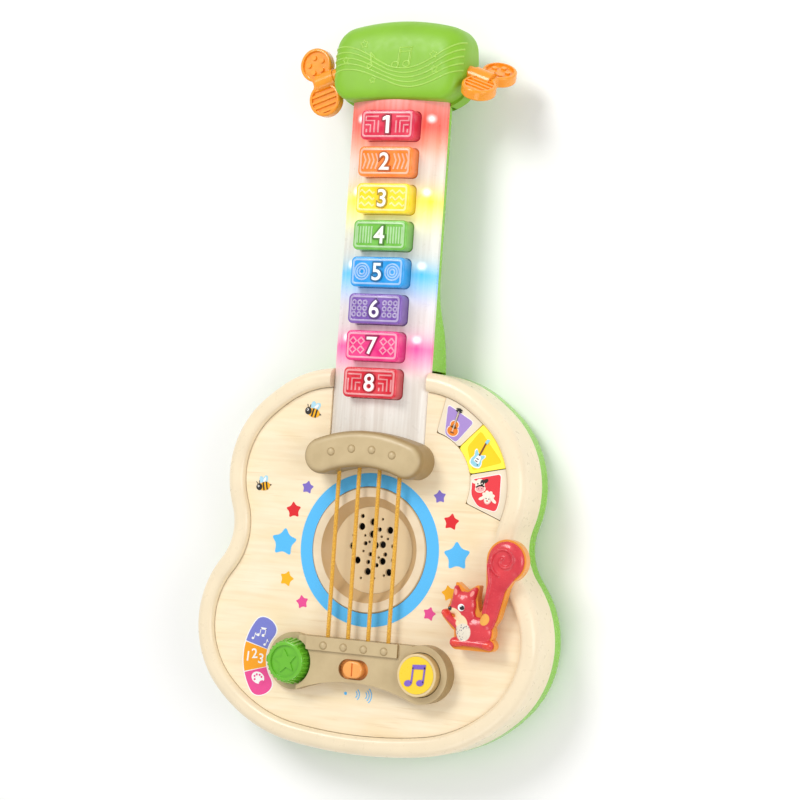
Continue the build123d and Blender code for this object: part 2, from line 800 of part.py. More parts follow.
# ---------------------------------------------------------------- volume slider
with BuildPart() as volume_slider:
    with BuildSketch(Plane.XY.offset(45.2)):
        with Locations((0, slot_y)):
            RectangleRounded(25.0, 12.6, 2.0)
    extrude(amount=1.5)
    with BuildSketch(Plane.XY.offset(46.0)):
        with Locations((0, slot_y)):
            SlotOverall(12.4, 9.8)
    extrude(amount=5.6)
    fillet(volume_slider.faces().sort_by(Axis.Z)[-1].edges(), 1.4)
    with BuildSketch(Plane.XY.offset(50.6)):
        with Locations((0, slot_y)):
            Rectangle(0.9, 7.4)
    extrude(amount=1.5, mode=Mode.SUBTRACT)
    with BuildSketch(Plane.XY.offset(33.2)):
        with Locations((0, slot_y)):
            Rectangle(3.6, 3.0)
    extrude(amount=12.2)
save(volume_slider, "volume_slider")

# ---------------------------------------------------------------- music button
with BuildPart() as music_button:
    with BuildSketch(Plane.XY.offset(45.0)):
        with Locations((roundel_x, roundel_y)):
            Circle(14.2)
    extrude(amount=1.5)
    with BuildSketch(Plane.XY.offset(45.0)):
        with Locations((roundel_x, roundel_y)):
            Circle(button_radius)
    extrude(amount=button_top - 45.0)
    fillet(music_button.faces().sort_by(Axis.Z)[-1].edges(), 0.8)
    with BuildSketch(Plane.XY.offset(45.0)):
        with Locations((roundel_x, roundel_y)):
            Circle(button_radius - 2.0)
    extrude(amount=7.2, mode=Mode.SUBTRACT)
    with BuildSketch(Plane.XY.offset(button_top - 0.8)):
        with Locations((roundel_x, roundel_y)):
            Circle(10.6)
    extrude(amount=0.8, mode=Mode.SUBTRACT)
    with BuildSketch(Plane.XY.offset(35.4)):
        with Locations((roundel_x, roundel_y)):
            Circle(3.0)
    extrude(amount=17.8)
save(music_button, "music_button")

with BuildPart() as music_button_disc:
    with BuildSketch(Plane.XY.offset(button_top - 0.8)):
        with Locations((roundel_x, roundel_y)):
            Circle(10.5)
    extrude(amount=1.0)
save(music_button_disc, "music_button_disc")

# ---------------------------------------------------------------- fan of style buttons
fan_names = ("acoustic", "electric", "animals")
fan_posts = []
for index, name in enumerate(fan_names):
    angle_from, angle_to = fan_angles[index], fan_angles[index + 1]
    middle = radians((angle_from + angle_to) / 2)
    post = (fan_centre[0] + 38 * cos(middle), fan_centre[1] + 38 * sin(middle))
    fan_posts.append(post)
    with BuildPart() as style_button:
        with BuildSketch(Plane.XY.offset(38.4)):
            add(fan_face(angle_from, angle_to, 0.0, gap, 1.8))
        extrude(amount=fan_top - 38.4)
        with BuildSketch(Plane.XY.offset(34.4)):
            with Locations(post):
                Circle(3.0)
        extrude(amount=4.2)
    save(style_button, f"style_button_{name}")

with BuildPart() as fan_button_board:
    with BuildSketch(Plane.XY.offset(29.5)):
        with Locations(*fan_posts):
            Circle(6.4)
        for first, second in zip(fan_posts, fan_posts[1:]):
            with BuildLine():
                Polyline(
                    (first[0] - 5, first[1] - 5), (second[0] - 5, second[1] - 5),
                    (second[0] + 5, second[1] + 5), (first[0] + 5, first[1] + 5),
                    (first[0] - 5, first[1] - 5),
                )
            make_face()
    extrude(amount=board_thickness)
save(fan_button_board, "fan_button_board")

with BuildPart() as fan_button_switches:
    with BuildSketch(Plane.XY.offset(29.5 + board_thickness)):
        with Locations(*fan_posts):
            Rectangle(6, 6)
    extrude(amount=1.2)
    with BuildSketch(Plane.XY.offset(29.5 + board_thickness)):
        with Locations(*fan_posts):
            Circle(1.7)
    extrude(amount=1.7)
save(fan_button_switches, "fan_button_switches")

# ---------------------------------------------------------------- squirrel lever
curl_centre, curl_radius = (90.0, 0.5), 11.0
tail = [
    (79.0, 0.0), (90.0, -6.0), (98.6, -6.2), (93.4, -9.4), (91.0, -14.0), (89.2, -22.0), (86.8, -31.5),
    (83.0, -37.0), (73.0, -37.0), (75.6, -31.0), (79.4, -27.0), (80.0, -18.0),
]
chest = [(59.5, -31.0), (72.5, -22.0), (76.0, -31.0), (75.0, -45.0), (62.6, -45.0), (62.0, -37.0)]
near_ear = [(60.8, -21.0), (61.4, -14.2), (67.0, -18.4)]
far_ear = [(68.0, -18.6), (74.0, -15.0), (73.2, -23.0)]


def grown_polygon(points, grow):
    """Polygon whose sides move out by grow, with rounded corners."""
    with BuildSketch() as sketch:
        Polygon(*points, align=None)
        if grow:
            offset(amount=grow)
    return sketch.sketch


def squirrel_face(grow):
    """Seated squirrel with a curled tail, in profile."""
    with BuildSketch() as sketch:
        with Locations(curl_centre):
            Circle(curl_radius + grow)
        for points in (tail, chest, near_ear, far_ear):
            add(grown_polygon(points, grow))
        with Locations((73.5, -40.0)):
            Ellipse(10.8 + grow, 8.6 + grow)
        with Locations((66.2, -25.6)):
            Ellipse(7.7 + grow, 7.6 + grow)
        with Locations((60.4, -28.0)):
            Circle(2.9 + grow)
        with Locations(Location((59.0, -34.2), -45)):
            SlotOverall(12.0 + 2 * grow, 4.0 + 2 * grow)
        with Locations((73.0, -47.0)):
            SlotOverall(25.0 + 2 * grow, 5.2 + 2 * grow)
    return sketch.sketch


with BuildPart() as squirrel_lever:
    with BuildSketch(Plane.XY.offset(lever_low)):
        add(squirrel_face(lever_border))
    extrude(amount=lever_mid - lever_low)
    for low, high, radius in (
        (panel_top + gap, lever_low, 8.0), (37.2, panel_top + gap, lever_shaft_radius),
        (35.8, 37.2, 3.0), (29.5, 35.8, lever_shaft_radius - 0.4),
    ):
        with BuildSketch(Plane.XY.offset(low)):
            with Locations(lever_pivot):
                Circle(radius)
        extrude(amount=high - low)
save(squirrel_lever, "squirrel_lever")

with BuildPart() as squirrel_figure:
    with BuildSketch(Plane.XY.offset(lever_mid)):
        add(squirrel_face(0.0))
    extrude(amount=lever_top - lever_mid)
save(squirrel_figure, "squirrel_figure")

with BuildPart() as lever_clip:
    with BuildSketch(Plane.XY.offset(36.0)):
        with Locations(lever_pivot):
            Circle(6.5)
            Circle(3.0 + fit_gap, mode=Mode.SUBTRACT)
            with Locations((0, 5)):
                Rectangle(4.6, 8, mode=Mode.SUBTRACT)
    extrude(amount=1.0)
save(lever_clip, "lever_clip")

# Torsion spring round the shaft below the clip
spring_radius, spring_wire, spring_pitch, spring_height = 5.2, 0.4, 1.1, 4.4
with BuildPart() as lever_spring:
    with BuildLine() as spring_line:
        Helix(spring_pitch, spring_height, spring_radius, center=(lever_pivot[0], lever_pivot[1], 30.4))
    with BuildSketch(Plane(origin=spring_line.line @ 0, z_dir=spring_line.line % 0)):
        Circle(spring_wire)
    sweep()
save(lever_spring, "lever_spring")

# ---------------------------------------------------------------- electronics in the body
with BuildPart() as main_circuit_board:
    with BuildSketch(Plane.XY.offset(board_z)):
        with Locations((0, -68)):
            RectangleRounded(116, 42, 3)
    extrude(amount=board_thickness)
save(main_circuit_board, "main_circuit_board")

switch_low = board_z + board_thickness
with BuildPart() as rotary_switch:
    with BuildSketch(Plane.XY.offset(switch_low)):
        with Locations(knob_place):
            RectangleRounded(15, 15, 1.5)
    extrude(amount=6.4)
    with BuildSketch(Plane.XY.offset(switch_low + 1.4)):
        with Locations(knob_place):
            Circle(2.5 + fit_gap)
    extrude(amount=10, mode=Mode.SUBTRACT)
save(rotary_switch, "rotary_switch")

with BuildPart() as slide_switch:
    with BuildSketch(Plane.XY.offset(switch_low)):
        with Locations((0, slot_y)):
            Rectangle(17, 7)
    extrude(amount=5.6)
    with BuildSketch(Plane.XY.offset(switch_low)):
        with Locations((0, slot_y)):
            Rectangle(4, 3)
    extrude(amount=7.2)
save(slide_switch, "slide_switch")

with BuildPart() as music_button_switch:
    with BuildSketch(Plane.XY.offset(switch_low)):
        with Locations((roundel_x, roundel_y)):
            Rectangle(8, 8)
    extrude(amount=5.2)
    with BuildSketch(Plane.XY.offset(switch_low)):
        with Locations((roundel_x, roundel_y)):
            Circle(2.2)
    extrude(amount=6.8)
save(music_button_switch, "music_button_switch")

# ---------------------------------------------------------------- batteries
cell_x = (-battery_pitch, 0.0, battery_pitch)
box_low, box_top = wall, 19.6
with BuildPart() as battery_box:
    with BuildSketch(Plane.XY.offset(box_low)):
        with Locations((0, battery_centre_y)):
            Rectangle(door_width, door_length)
    extrude(amount=box_top - box_low)
    with BuildSketch(Plane.XY.offset(box_low)):
        with Locations((0, battery_centre_y)):
            Rectangle(door_width - 3.2, door_length - 3.2)
    extrude(amount=box_top - box_low - 1.6, mode=Mode.SUBTRACT)
save(battery_box, "battery_box")

with BuildPart() as batteries:
    cell_start = battery_centre_y - battery_length / 2
    for index, x in enumerate(cell_x):
        tip = 1 if index % 2 == 0 else -1
        with BuildSketch(Plane.XZ.offset(-cell_start)):
            with Locations((x, 10.4)):
                Circle(battery_radius)
        extrude(amount=-battery_length)
        tip_y = cell_start + battery_length if tip == 1 else cell_start
        with BuildSketch(Plane.XZ.offset(-tip_y)):
            with Locations((x, 10.4)):
                Circle(2.7)
        extrude(amount=-tip * 1.3)
save(batteries, "batteries")

with BuildPart() as battery_contacts:
    for end in (-1, 1):
        plate_y = battery_centre_y + end * (door_length / 2 - 1.6 - 0.25)
        with Locations(*[(x, plate_y, 10.4) for x in cell_x]):
            Box(10, 0.4, 9)
save(battery_contacts, "battery_contacts")

with BuildPart() as battery_door:
    with BuildSketch():
        with Locations((0, battery_centre_y)):
            RectangleRounded(door_width, door_length, 3)
        with Locations((0, battery_centre_y + door_length / 2 - 5)):
            Circle(screw_shank + 0.2, mode=Mode.SUBTRACT)
    extrude(amount=wall - 0.1)
    with BuildSketch():
        with Locations((0, battery_centre_y + door_length / 2 - 5)):
            Circle(screw_head + 0.3)
    extrude(amount=1.2, mode=Mode.SUBTRACT)
    with BuildSketch():
        with Locations(*[(0, battery_centre_y - 10 - 3 * row) for row in range(4)]):
            SlotOverall(22, 1.2)
    extrude(amount=0.7, mode=Mode.SUBTRACT)
save(battery_door, "battery_door")


# ---------------------------------------------------------------- screws
def screw_group(points, head_low, head_height, length):
    """Pan-head screws driven up from the back."""
    with BuildPart() as screws:
        with BuildSketch(Plane.XY.offset(head_low)):
            with Locations(*points):
                Circle(screw_head)
        extrude(amount=head_height)
        with BuildSketch(Plane.XY.offset(head_low)):
            with Locations(*points):
                Circle(screw_shank)
        extrude(amount=length)
        with BuildSketch(Plane.XY.offset(head_low)):
            with Locations(*points):
                Rectangle(3.6, 0.8)
                Rectangle(0.8, 3.6)
        extrude(amount=0.9, mode=Mode.SUBTRACT)
    return screws


save(screw_group(both_sides(body_screw_points), 7.0, 2.0, 19.0), "body_screws")
save(screw_group(post_points, head_back_z + 3.2, 1.8, 18.5), "head_screws")
save(screw_group([(0, battery_centre_y + door_length / 2 - 5)], 0.2, 1.0, 2.8), "battery_door_screw")
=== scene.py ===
from math import cos, hypot, pi, radians, sin, tau

import bmesh
import bpy
from mathutils import Matrix, Vector, geometry
from mathutils.bvhtree import BVHTree


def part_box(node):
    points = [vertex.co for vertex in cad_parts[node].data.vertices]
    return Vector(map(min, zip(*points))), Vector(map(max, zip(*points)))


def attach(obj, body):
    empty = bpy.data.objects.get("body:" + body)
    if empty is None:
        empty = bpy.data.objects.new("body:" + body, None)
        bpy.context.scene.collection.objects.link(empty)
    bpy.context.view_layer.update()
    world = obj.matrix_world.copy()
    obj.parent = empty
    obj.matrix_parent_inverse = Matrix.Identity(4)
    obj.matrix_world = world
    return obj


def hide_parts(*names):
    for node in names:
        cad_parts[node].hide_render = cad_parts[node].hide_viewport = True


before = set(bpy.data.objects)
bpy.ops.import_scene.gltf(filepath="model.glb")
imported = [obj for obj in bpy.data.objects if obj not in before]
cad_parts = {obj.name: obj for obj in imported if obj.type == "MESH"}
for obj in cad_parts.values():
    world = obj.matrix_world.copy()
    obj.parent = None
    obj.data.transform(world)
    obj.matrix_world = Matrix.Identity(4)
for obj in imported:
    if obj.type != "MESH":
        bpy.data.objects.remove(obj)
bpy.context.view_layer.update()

MM = 0.001
HOUSING = "housing"
KEY_COUNT = 8
KEY_SIDE_LIP, KEY_END_LIP = 3.2, 1.2      # hidden flange of a key beyond its cap, in mm


# ---- sizes read from the frame, in mm
def corners(node):
    """Lowest and highest corner of a CAD node, in millimetres."""
    low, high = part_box(node)
    return low / MM, high / MM


def middle(node):
    low, high = corners(node)
    return (low + high) / 2


panel_top = corners("front_panel")[1].z
key_top = corners("key_1")[1].z
key_y = [middle(f"key_{number}").y for number in range(1, KEY_COUNT + 1)]
key_pitch = key_y[0] - key_y[1]
key_flange = corners("key_1")[1].x * 2
key_width = key_flange - 2 * KEY_SIDE_LIP
key_height = corners("key_1")[1].y - corners("key_1")[0].y - 2 * KEY_END_LIP
head_low, head_high = corners("head_front")
disc_centre = middle("music_button_disc")
disc_top = corners("music_button_disc")[1].z
knob_centre = Vector((-disc_centre.x, disc_centre.y, 0))
knob_high = corners("mode_knob")[1].z
fan_top = corners("style_button_acoustic")[1].z
figure_low = corners("squirrel_figure")[0].z


# ---- colours
def srgb(red, green, blue):
    """Colour given as 0 to 255, as the linear colour that shaders use."""
    def linear(value):
        value /= 255
        return value / 12.92 if value <= 0.04045 else ((value + 0.055) / 1.055) ** 2.4
    return (linear(red), linear(green), linear(blue), 1.0)


def mixed(first, second, share):
    return tuple(a + (b - a) * share for a, b in zip(first, second))


def shade(colour, amount):
    """Darker (below 1) or lighter (above 1) version of a colour."""
    return tuple(min(1.0, channel * amount) for channel in colour[:3]) + (1.0,)


# ---- material building
class Shader:
    """Small helper that adds nodes and links to one material."""

    def __init__(self, name):
        self.material = bpy.data.materials.new(name)
        self.material.use_nodes = True
        self.tree = self.material.node_tree
        self.bsdf = self.tree.nodes["Principled BSDF"]
        self.position = self.node("ShaderNodeTexCoord").outputs["Object"]

    def node(self, kind, **settings):
        made = self.tree.nodes.new(kind)
        for key, value in settings.items():
            setattr(made, key, value)
        return made

    def link(self, source, target):
        self.tree.links.new(source, target)

    def place(self, scale):
        """Position in metres times a scale for each axis."""
        mapping = self.node("ShaderNodeMapping")
        mapping.inputs["Scale"].default_value = scale
        self.link(self.position, mapping.inputs["Vector"])
        return mapping.outputs["Vector"]

    def noise(self, scale, detail=3.0, stretch=(1, 1, 1), distortion=0.0):
        texture = self.node("ShaderNodeTexNoise")
        texture.inputs["Scale"].default_value = scale
        texture.inputs["Detail"].default_value = detail
        texture.inputs["Distortion"].default_value = distortion
        self.link(self.place(stretch), texture.inputs["Vector"])
        return texture.outputs["Fac"]

    def ramp(self, factor, stops):
        ramp = self.node("ShaderNodeValToRGB")
        elements = ramp.color_ramp.elements
        while len(elements) < len(stops):
            elements.new(1.0)
        for element, (place, colour) in zip(elements, stops):
            element.position = place
            element.color = colour
        self.link(factor, ramp.inputs["Fac"])
        return ramp.outputs["Color"]

    def mix(self, factor, first, second):
        mix = self.node("ShaderNodeMix", data_type="RGBA")
        colour_sockets = mix.inputs[6], mix.inputs[7]
        for socket, value in zip((mix.inputs["Factor"], *colour_sockets), (factor, first, second)):
            if isinstance(value, (int, float, tuple)):
                socket.default_value = value
            else:
                self.link(value, socket)
        return mix.outputs[2]

    def math(self, operation, *values):
        node = self.node("ShaderNodeMath", operation=operation)
        for socket, value in zip(node.inputs, values):
            if isinstance(value, (int, float)):
                socket.default_value = value
            else:
                self.link(value, socket)
        return node.outputs[0]

    def times(self, first, second):
        return self.math("MULTIPLY", first, second)

    def length(self, across, along):
        """Length of the vector whose two legs are given."""
        return self.math("SQRT", self.math("ADD", self.times(across, across), self.times(along, along)))

    def paint(self, colour):
        self.link(colour, self.bsdf.inputs["Base Color"])

    def spread(self, value, low, high, to_low=0.0, to_high=1.0, smooth=False):
        node = self.node("ShaderNodeMapRange")
        if smooth:
            node.interpolation_type = "SMOOTHSTEP"
        self.link(value, node.inputs["Value"])
        for name, number in (("From Min", low), ("From Max", high), ("To Min", to_low), ("To Max", to_high)):
            node.inputs[name].default_value = number
        return node.outputs["Result"]

    def axes(self):
        split = self.node("ShaderNodeSeparateXYZ")
        self.link(self.position, split.inputs["Vector"])
        return split.outputs["X"], split.outputs["Y"], split.outputs["Z"]

    def set(self, **values):
        for name, value in values.items():
            self.bsdf.inputs[name.replace("_", " ")].default_value = value

    def bump(self, height, strength, distance_mm):
        bump = self.node("ShaderNodeBump")
        bump.inputs["Strength"].default_value = strength
        bump.inputs["Distance"].default_value = distance_mm * MM
        self.link(height, bump.inputs["Height"])
        self.link(bump.outputs["Normal"], self.bsdf.inputs["Normal"])

    def roughness(self, low, high, scale=300):
        self.link(self.spread(self.noise(scale), 0.3, 0.7, low, high), self.bsdf.inputs["Roughness"])


def moulded(name, colour, rough=0.28, coat=0.0, tint=0.05, glow=0.0, soft=0.0, grain=1500):
    """Injection-moulded plastic: faint cloudy tint, uneven gloss and a fine moulded skin."""
    s = Shader(name)
    cloud = s.spread(s.noise(60, 2), 0.3, 0.7)
    s.paint(s.mix(cloud, shade(colour, 1 - tint), shade(colour, 1 + tint)))
    s.roughness(rough - 0.04, rough + 0.06)
    s.set(Coat_Weight=coat, Coat_Roughness=0.08)
    if soft:
        s.set(Subsurface_Weight=soft, Subsurface_Radius=(0.004, 0.003, 0.002))
    if glow:
        s.set(Emission_Color=colour, Emission_Strength=glow)
    s.bump(s.noise(grain, 2), 0.06, 0.02)
    return s.material


def printed(name, colour, rough=0.42):
    """Ink printed on the panel or on a sticker: slight mottling and a soft sheen."""
    s = Shader(name)
    speckle = s.spread(s.noise(2500, 2), 0.35, 0.65)
    s.paint(s.mix(speckle, shade(colour, 0.95), shade(colour, 1.03)))
    s.roughness(rough - 0.04, rough + 0.06, 700)
    s.bump(s.noise(3000, 2), 0.08, 0.02)
    return s.material


def birch_panel():
    """Pale printed birch: long fine fibres across the body, soft figure and a few darker pores."""
    s = Shader("birch_veneer")
    figure = s.noise(22, 4, (1.0, 3.2, 1.0), 0.6)
    pale, paler, palest = srgb(247, 226, 186), srgb(251, 233, 199), srgb(253, 238, 209)
    base = s.ramp(figure, [(0.3, pale), (0.5, paler), (0.75, palest)])
    fibre = s.spread(s.noise(330, 5, (0.07, 1.0, 1.0)), 0.42, 0.62)
    base = s.mix(fibre, base, s.mix(0.16, base, srgb(222, 186, 132)))
    pores = s.spread(s.noise(520, 3, (0.05, 1.0, 1.0)), 0.62, 0.72, 0.0, 0.3)
    base = s.mix(pores, base, srgb(222, 188, 136))
    s.paint(base)
    s.roughness(0.36, 0.48, 500)
    s.bump(fibre, 0.10, 0.04)
    return s.material


def two_tone(name, top, side, rough=0.35):
    """Satin plastic with painted light: faces that look up are painted paler and its flanks painted darker as
    shade.
    """
    s = Shader(name)
    normal = s.node("ShaderNodeSeparateXYZ")
    s.link(s.node("ShaderNodeNewGeometry").outputs["Normal"], normal.inputs["Vector"])
    # painted light: the colour turns from the painted shade of the flanks to the paler painted top as the
    # face turns up
    upward_light_share = s.spread(normal.outputs["Z"], 0.55, 1.0, smooth=True)
    base = s.mix(upward_light_share, side, top)
    cloud = s.spread(s.noise(90, 3), 0.3, 0.7, 0.0, 0.25)
    s.paint(s.mix(cloud, base, shade(side, 0.9)))
    s.roughness(rough - 0.05, rough + 0.08)
    s.bump(s.noise(1100, 2), 0.15, 0.04)
    return s.material


def metal(name, colour, rough=0.3):
    s = Shader(name)
    s.set(Metallic=1.0)
    s.paint(s.mix(s.noise(200, 3), shade(colour, 0.85), colour))
    s.roughness(rough - 0.08, rough + 0.1, 900)
    s.bump(s.noise(1800, 2), 0.1, 0.02)
    return s.material


def circuit_green():
    """Solder mask with faint darker tracks under it."""
    s = Shader("circuit_mask")
    tracks = s.node("ShaderNodeTexBrick")
    tracks.inputs["Scale"].default_value = 180
    tracks.inputs["Mortar Size"].default_value = 0.03
    tracks.inputs["Color1"].default_value = srgb(20, 110, 55)
    tracks.inputs["Color2"].default_value = srgb(24, 120, 62)
    tracks.inputs["Mortar"].default_value = srgb(60, 150, 80)
    s.link(s.place((1, 1, 1)), tracks.inputs["Vector"])
    s.paint(tracks.outputs["Color"])
    s.roughness(0.3, 0.4)
    s.bump(tracks.outputs["Fac"], 0.2, 0.05)
    return s.material


# Light in the neck: hue by the row of keys, brightest beside rows 1, 3, 5 and 7
ROW_GLOW = (
    srgb(246, 72, 50), srgb(250, 186, 150), srgb(255, 226, 0), srgb(226, 236, 200),
    srgb(40, 178, 230), srgb(222, 208, 232), srgb(238, 46, 146), srgb(228, 214, 208),
)


def pearl_cover():
    """Frosted pearl moulding with fibres along the neck, lit from inside by the row lights, with small
    painted white glints beside the lit rows.
    """
    s = Shader("pearl_cover")
    x, y, z = s.axes()
    grain = s.spread(s.noise(420, 4, (1.0, 0.045, 1.0)), 0.35, 0.65)
    pearl = s.mix(s.times(grain, 0.7), srgb(222, 214, 204), srgb(240, 236, 228))

    top, foot = key_y[0] + key_pitch, key_y[-1] - key_pitch
    along = s.spread(y, foot * MM, top * MM)
    rows = sorted(((yy - foot) / (top - foot), colour) for yy, colour in zip(key_y, ROW_GLOW))
    hue = s.ramp(along, rows)

    first_row, light_pitch = key_y[0] * MM, 2 * key_pitch * MM
    lit_y = s.math("MINIMUM", y, first_row - 5 * MM)
    off_row = s.math("PINGPONG", s.math("SUBTRACT", lit_y, first_row - 5 * MM), light_pitch / 2)
    foot_fade = s.spread(y, (key_y[-1] - 4) * MM, (key_y[-1] + 12) * MM, smooth=True)
    head_fade = s.spread(y, (key_y[0] + 20) * MM, (key_y[0] + 4) * MM, 0.62, 1.0, smooth=True)
    band = s.spread(off_row, 0.0, light_pitch / 2, 1.0, 0.22, smooth=True)
    band = s.times(s.times(band, foot_fade), head_fade)

    side = s.math("SUBTRACT", s.math("ABSOLUTE", x), 22.5 * MM)
    spot_y = s.math("PINGPONG", s.math("SUBTRACT", y, first_row - 5 * MM), light_pitch / 2)
    reach = s.length(side, spot_y)
    spot = s.times(s.spread(reach, 0.0, 15 * MM, 1.0, 0.0, smooth=True), foot_fade)
    # painted glint: a small white spot beside rows 1, 3, 5 and 7, whitened and made to glow
    glint_y = s.math("PINGPONG", s.math("SUBTRACT", y, first_row + 5 * MM), light_pitch / 2)
    glint_reach = s.length(side, glint_y)
    painted_glint = s.times(s.spread(glint_reach, 0.0, 3.6 * MM, 0.9, 0.0, smooth=True), foot_fade)

    colour = s.mix(s.times(band, 0.95), pearl, hue)
    colour = s.mix(s.times(spot, 0.9), colour, hue)
    colour = s.mix(s.times(grain, 0.08), colour, srgb(255, 255, 255))
    colour = s.mix(s.times(painted_glint, 0.85), colour, srgb(255, 255, 255))
    s.paint(colour)
    s.link(colour, s.bsdf.inputs["Emission Color"])
    strength = s.math("ADD", s.times(band, 0.16), s.times(spot, 0.22))
    strength = s.math("ADD", strength, s.times(painted_glint, 0.4))
    s.link(s.math("ADD", strength, 0.04), s.bsdf.inputs["Emission Strength"])
    s.roughness(0.25, 0.38)
    s.set(Coat_Weight=0.3, Coat_Roughness=0.15)
    s.bump(grain, 0.15, 0.05)
    return s.material


def lit_key(name, colour, lit):
    """Tinted translucent cap: deeper in colour low on its sides, and lit from within."""
    s = Shader(name)
    cloud = s.spread(s.noise(130, 3), 0.35, 0.65)
    x, y, z = s.axes()
    depth = s.spread(z, (key_top - 9) * MM, key_top * MM, smooth=True)
    body = s.mix(cloud, shade(colour, 0.88), mixed(colour, WHITE, 0.05))
    body = s.mix(depth, shade(colour, 0.55), body)
    s.paint(body)
    s.link(body, s.bsdf.inputs["Emission Color"])
    s.set(Emission_Strength=lit, Coat_Weight=0.3, Coat_Roughness=0.08, IOR=1.45)
    s.set(Subsurface_Weight=0.15, Subsurface_Radius=(0.004, 0.004, 0.004))
    s.roughness(0.12, 0.22)
    s.bump(s.noise(1300, 2), 0.08, 0.03)
    return s.material


def cord_material():
    """Twisted cord: fine yarn lines across each strand."""
    s = Shader("string_cord")
    yarn = s.spread(s.noise(2600, 3, (1, 0.5, 1)), 0.35, 0.65)
    s.paint(s.mix(yarn, srgb(205, 140, 30), srgb(250, 200, 70)))
    s.roughness(0.5, 0.7)
    s.set(Sheen_Weight=0.3)
    s.bump(yarn, 0.4, 0.08)
    return s.material


CRIMSON, ORANGE, YELLOW, GREEN = srgb(214, 16, 66), srgb(252, 128, 22), srgb(255, 216, 8), srgb(112, 190, 62)
BLUE, PURPLE, MAGENTA, RED = srgb(6, 152, 226), srgb(122, 82, 176), srgb(228, 30, 124), srgb(214, 14, 44)
KEY_COLOURS = (CRIMSON, ORANGE, YELLOW, GREEN, BLUE, PURPLE, MAGENTA, RED)
KEY_NAMES = ("crimson", "orange", "yellow", "green", "blue", "purple", "magenta", "red")

CREAM = srgb(243, 226, 194)
COAL, WHITE = srgb(38, 34, 30), srgb(250, 249, 246)

cream = moulded("cream_moulding", CREAM, 0.3, coat=0.15, tint=0.03)
lime = moulded("lime_moulding", srgb(132, 200, 32), 0.24, coat=0.4)
head_lime = moulded("head_moulding", srgb(134, 190, 42), 0.42, coat=0.0)
# painted highlight: the head's raised lines get a paler green than the head they are moulded on
head_relief_highlight_lime = moulded("head_relief_painted_highlight", srgb(166, 212, 84), 0.32, coat=0.15)
orange_moulding = moulded("orange_moulding", srgb(252, 158, 30), 0.24, coat=0.4, soft=0.1)
slider_orange = moulded("slider_moulding", srgb(255, 170, 88), 0.28, coat=0.3, soft=0.1)
lever_orange = moulded("lever_orange", srgb(238, 152, 44), 0.3, coat=0.3)
coral = moulded("coral_moulding", srgb(222, 66, 70), 0.25, coat=0.4, soft=0.1)
# painted light: the green knob is given a faint glow though it is no lamp
knob_green = moulded("knob_moulding", srgb(106, 186, 44), 0.16, coat=0.6, glow=0.05)
# painted light: khaki, bezel and button_cream are painted paler on top and darker on their flanks
khaki = two_tone("khaki_moulding", srgb(206, 184, 142), srgb(160, 134, 88))
bezel = two_tone("bezel_moulding", srgb(240, 222, 192), srgb(196, 160, 104))
grille = moulded("grille_moulding", srgb(226, 202, 160), 0.4)
button_cream = two_tone("button_moulding", srgb(232, 208, 160), srgb(202, 168, 108))
button_disc = printed("button_disc", srgb(252, 214, 56), 0.3)
fan_cream = moulded("fan_moulding", srgb(240, 226, 200), 0.34)
birch = birch_panel()
pearl = pearl_cover()
key_lit = (0.22, 0.22, 0.22, 0.14, 0.2, 0.12, 0.22, 0.16)
key_materials = [
    lit_key(f"key_tint_{name}", colour, lit) for name, colour, lit in zip(KEY_NAMES, KEY_COLOURS, key_lit)
]
steel = metal("plated_steel", (0.62, 0.62, 0.6, 1.0))
black = moulded("black_moulding", srgb(36, 36, 38), 0.4)
cone_paper = moulded("cone_paper", srgb(30, 26, 22), 0.7, grain=900)
silicone = moulded("silicone", srgb(226, 226, 220), 0.55)
led_lens = moulded("led_lens", srgb(245, 245, 238), 0.15, coat=0.5, glow=0.3)
battery_wrap = moulded("battery_wrap", srgb(60, 130, 90), 0.3, coat=0.4)
cord_yellow = cord_material()
board_green = circuit_green()

NODES_BY_MATERIAL = (
    (cream, "body_frame battery_box"),
    (birch, "front_panel"),
    (lime, "back_shell battery_door"),
    (pearl, "neck_light_cover"),
    (head_lime, "head_front head_back"),
    (khaki, "nut_cover bridge_cover"),
    (bezel, "speaker_bezel"),
    (grille, "speaker_grille"),
    (cone_paper, "speaker_cone"),
    (black, "speaker_basket fan_button_switches rotary_switch slide_switch music_button_switch"),
    (steel, "speaker_magnet lever_clip lever_spring battery_contacts"
     " battery_door_screw body_screws head_screws string_crimps"),
    (knob_green, "mode_knob"),
    (slider_orange, "volume_slider"),
    (button_cream, "music_button"),
    (button_disc, "music_button_disc"),
    (lever_orange, "squirrel_lever"),
    (coral, "squirrel_figure"),
    (orange_moulding, "tuning_peg_left tuning_peg_right"),
    (silicone, "key_dome_mat"),
    (board_green, "neck_circuit_board main_circuit_board fan_button_board"),
    (led_lens, "neck_leds"),
    (battery_wrap, "batteries"),
    (fan_cream, "style_button_acoustic style_button_electric style_button_animals"),
    (cord_yellow, "string_1 string_2 string_3 string_4"),
)
NODE_MATERIALS = {node_name: m for m, node_names in NODES_BY_MATERIAL for node_name in node_names.split()}
NODE_MATERIALS.update({f"key_{number}": m for number, m in enumerate(key_materials, start=1)})

for node_name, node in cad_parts.items():
    for material_slot in node.material_slots:
        material_slot.material = NODE_MATERIALS[node_name]


# ---- shape building
def finished_bmesh(work, name):
    """Mesh made from a bmesh, which is freed."""
    mesh = bpy.data.meshes.new(name)
    work.to_mesh(mesh)
    work.free()
    return mesh


def add_piece(name, mesh, material, body):
    """Put a mesh into the scene as a piece that rides on a CAD body."""
    mesh.materials.clear()
    mesh.materials.append(material)
    obj = bpy.data.objects.new(name, mesh)
    bpy.context.scene.collection.objects.link(obj)
    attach(obj, body)
    return obj


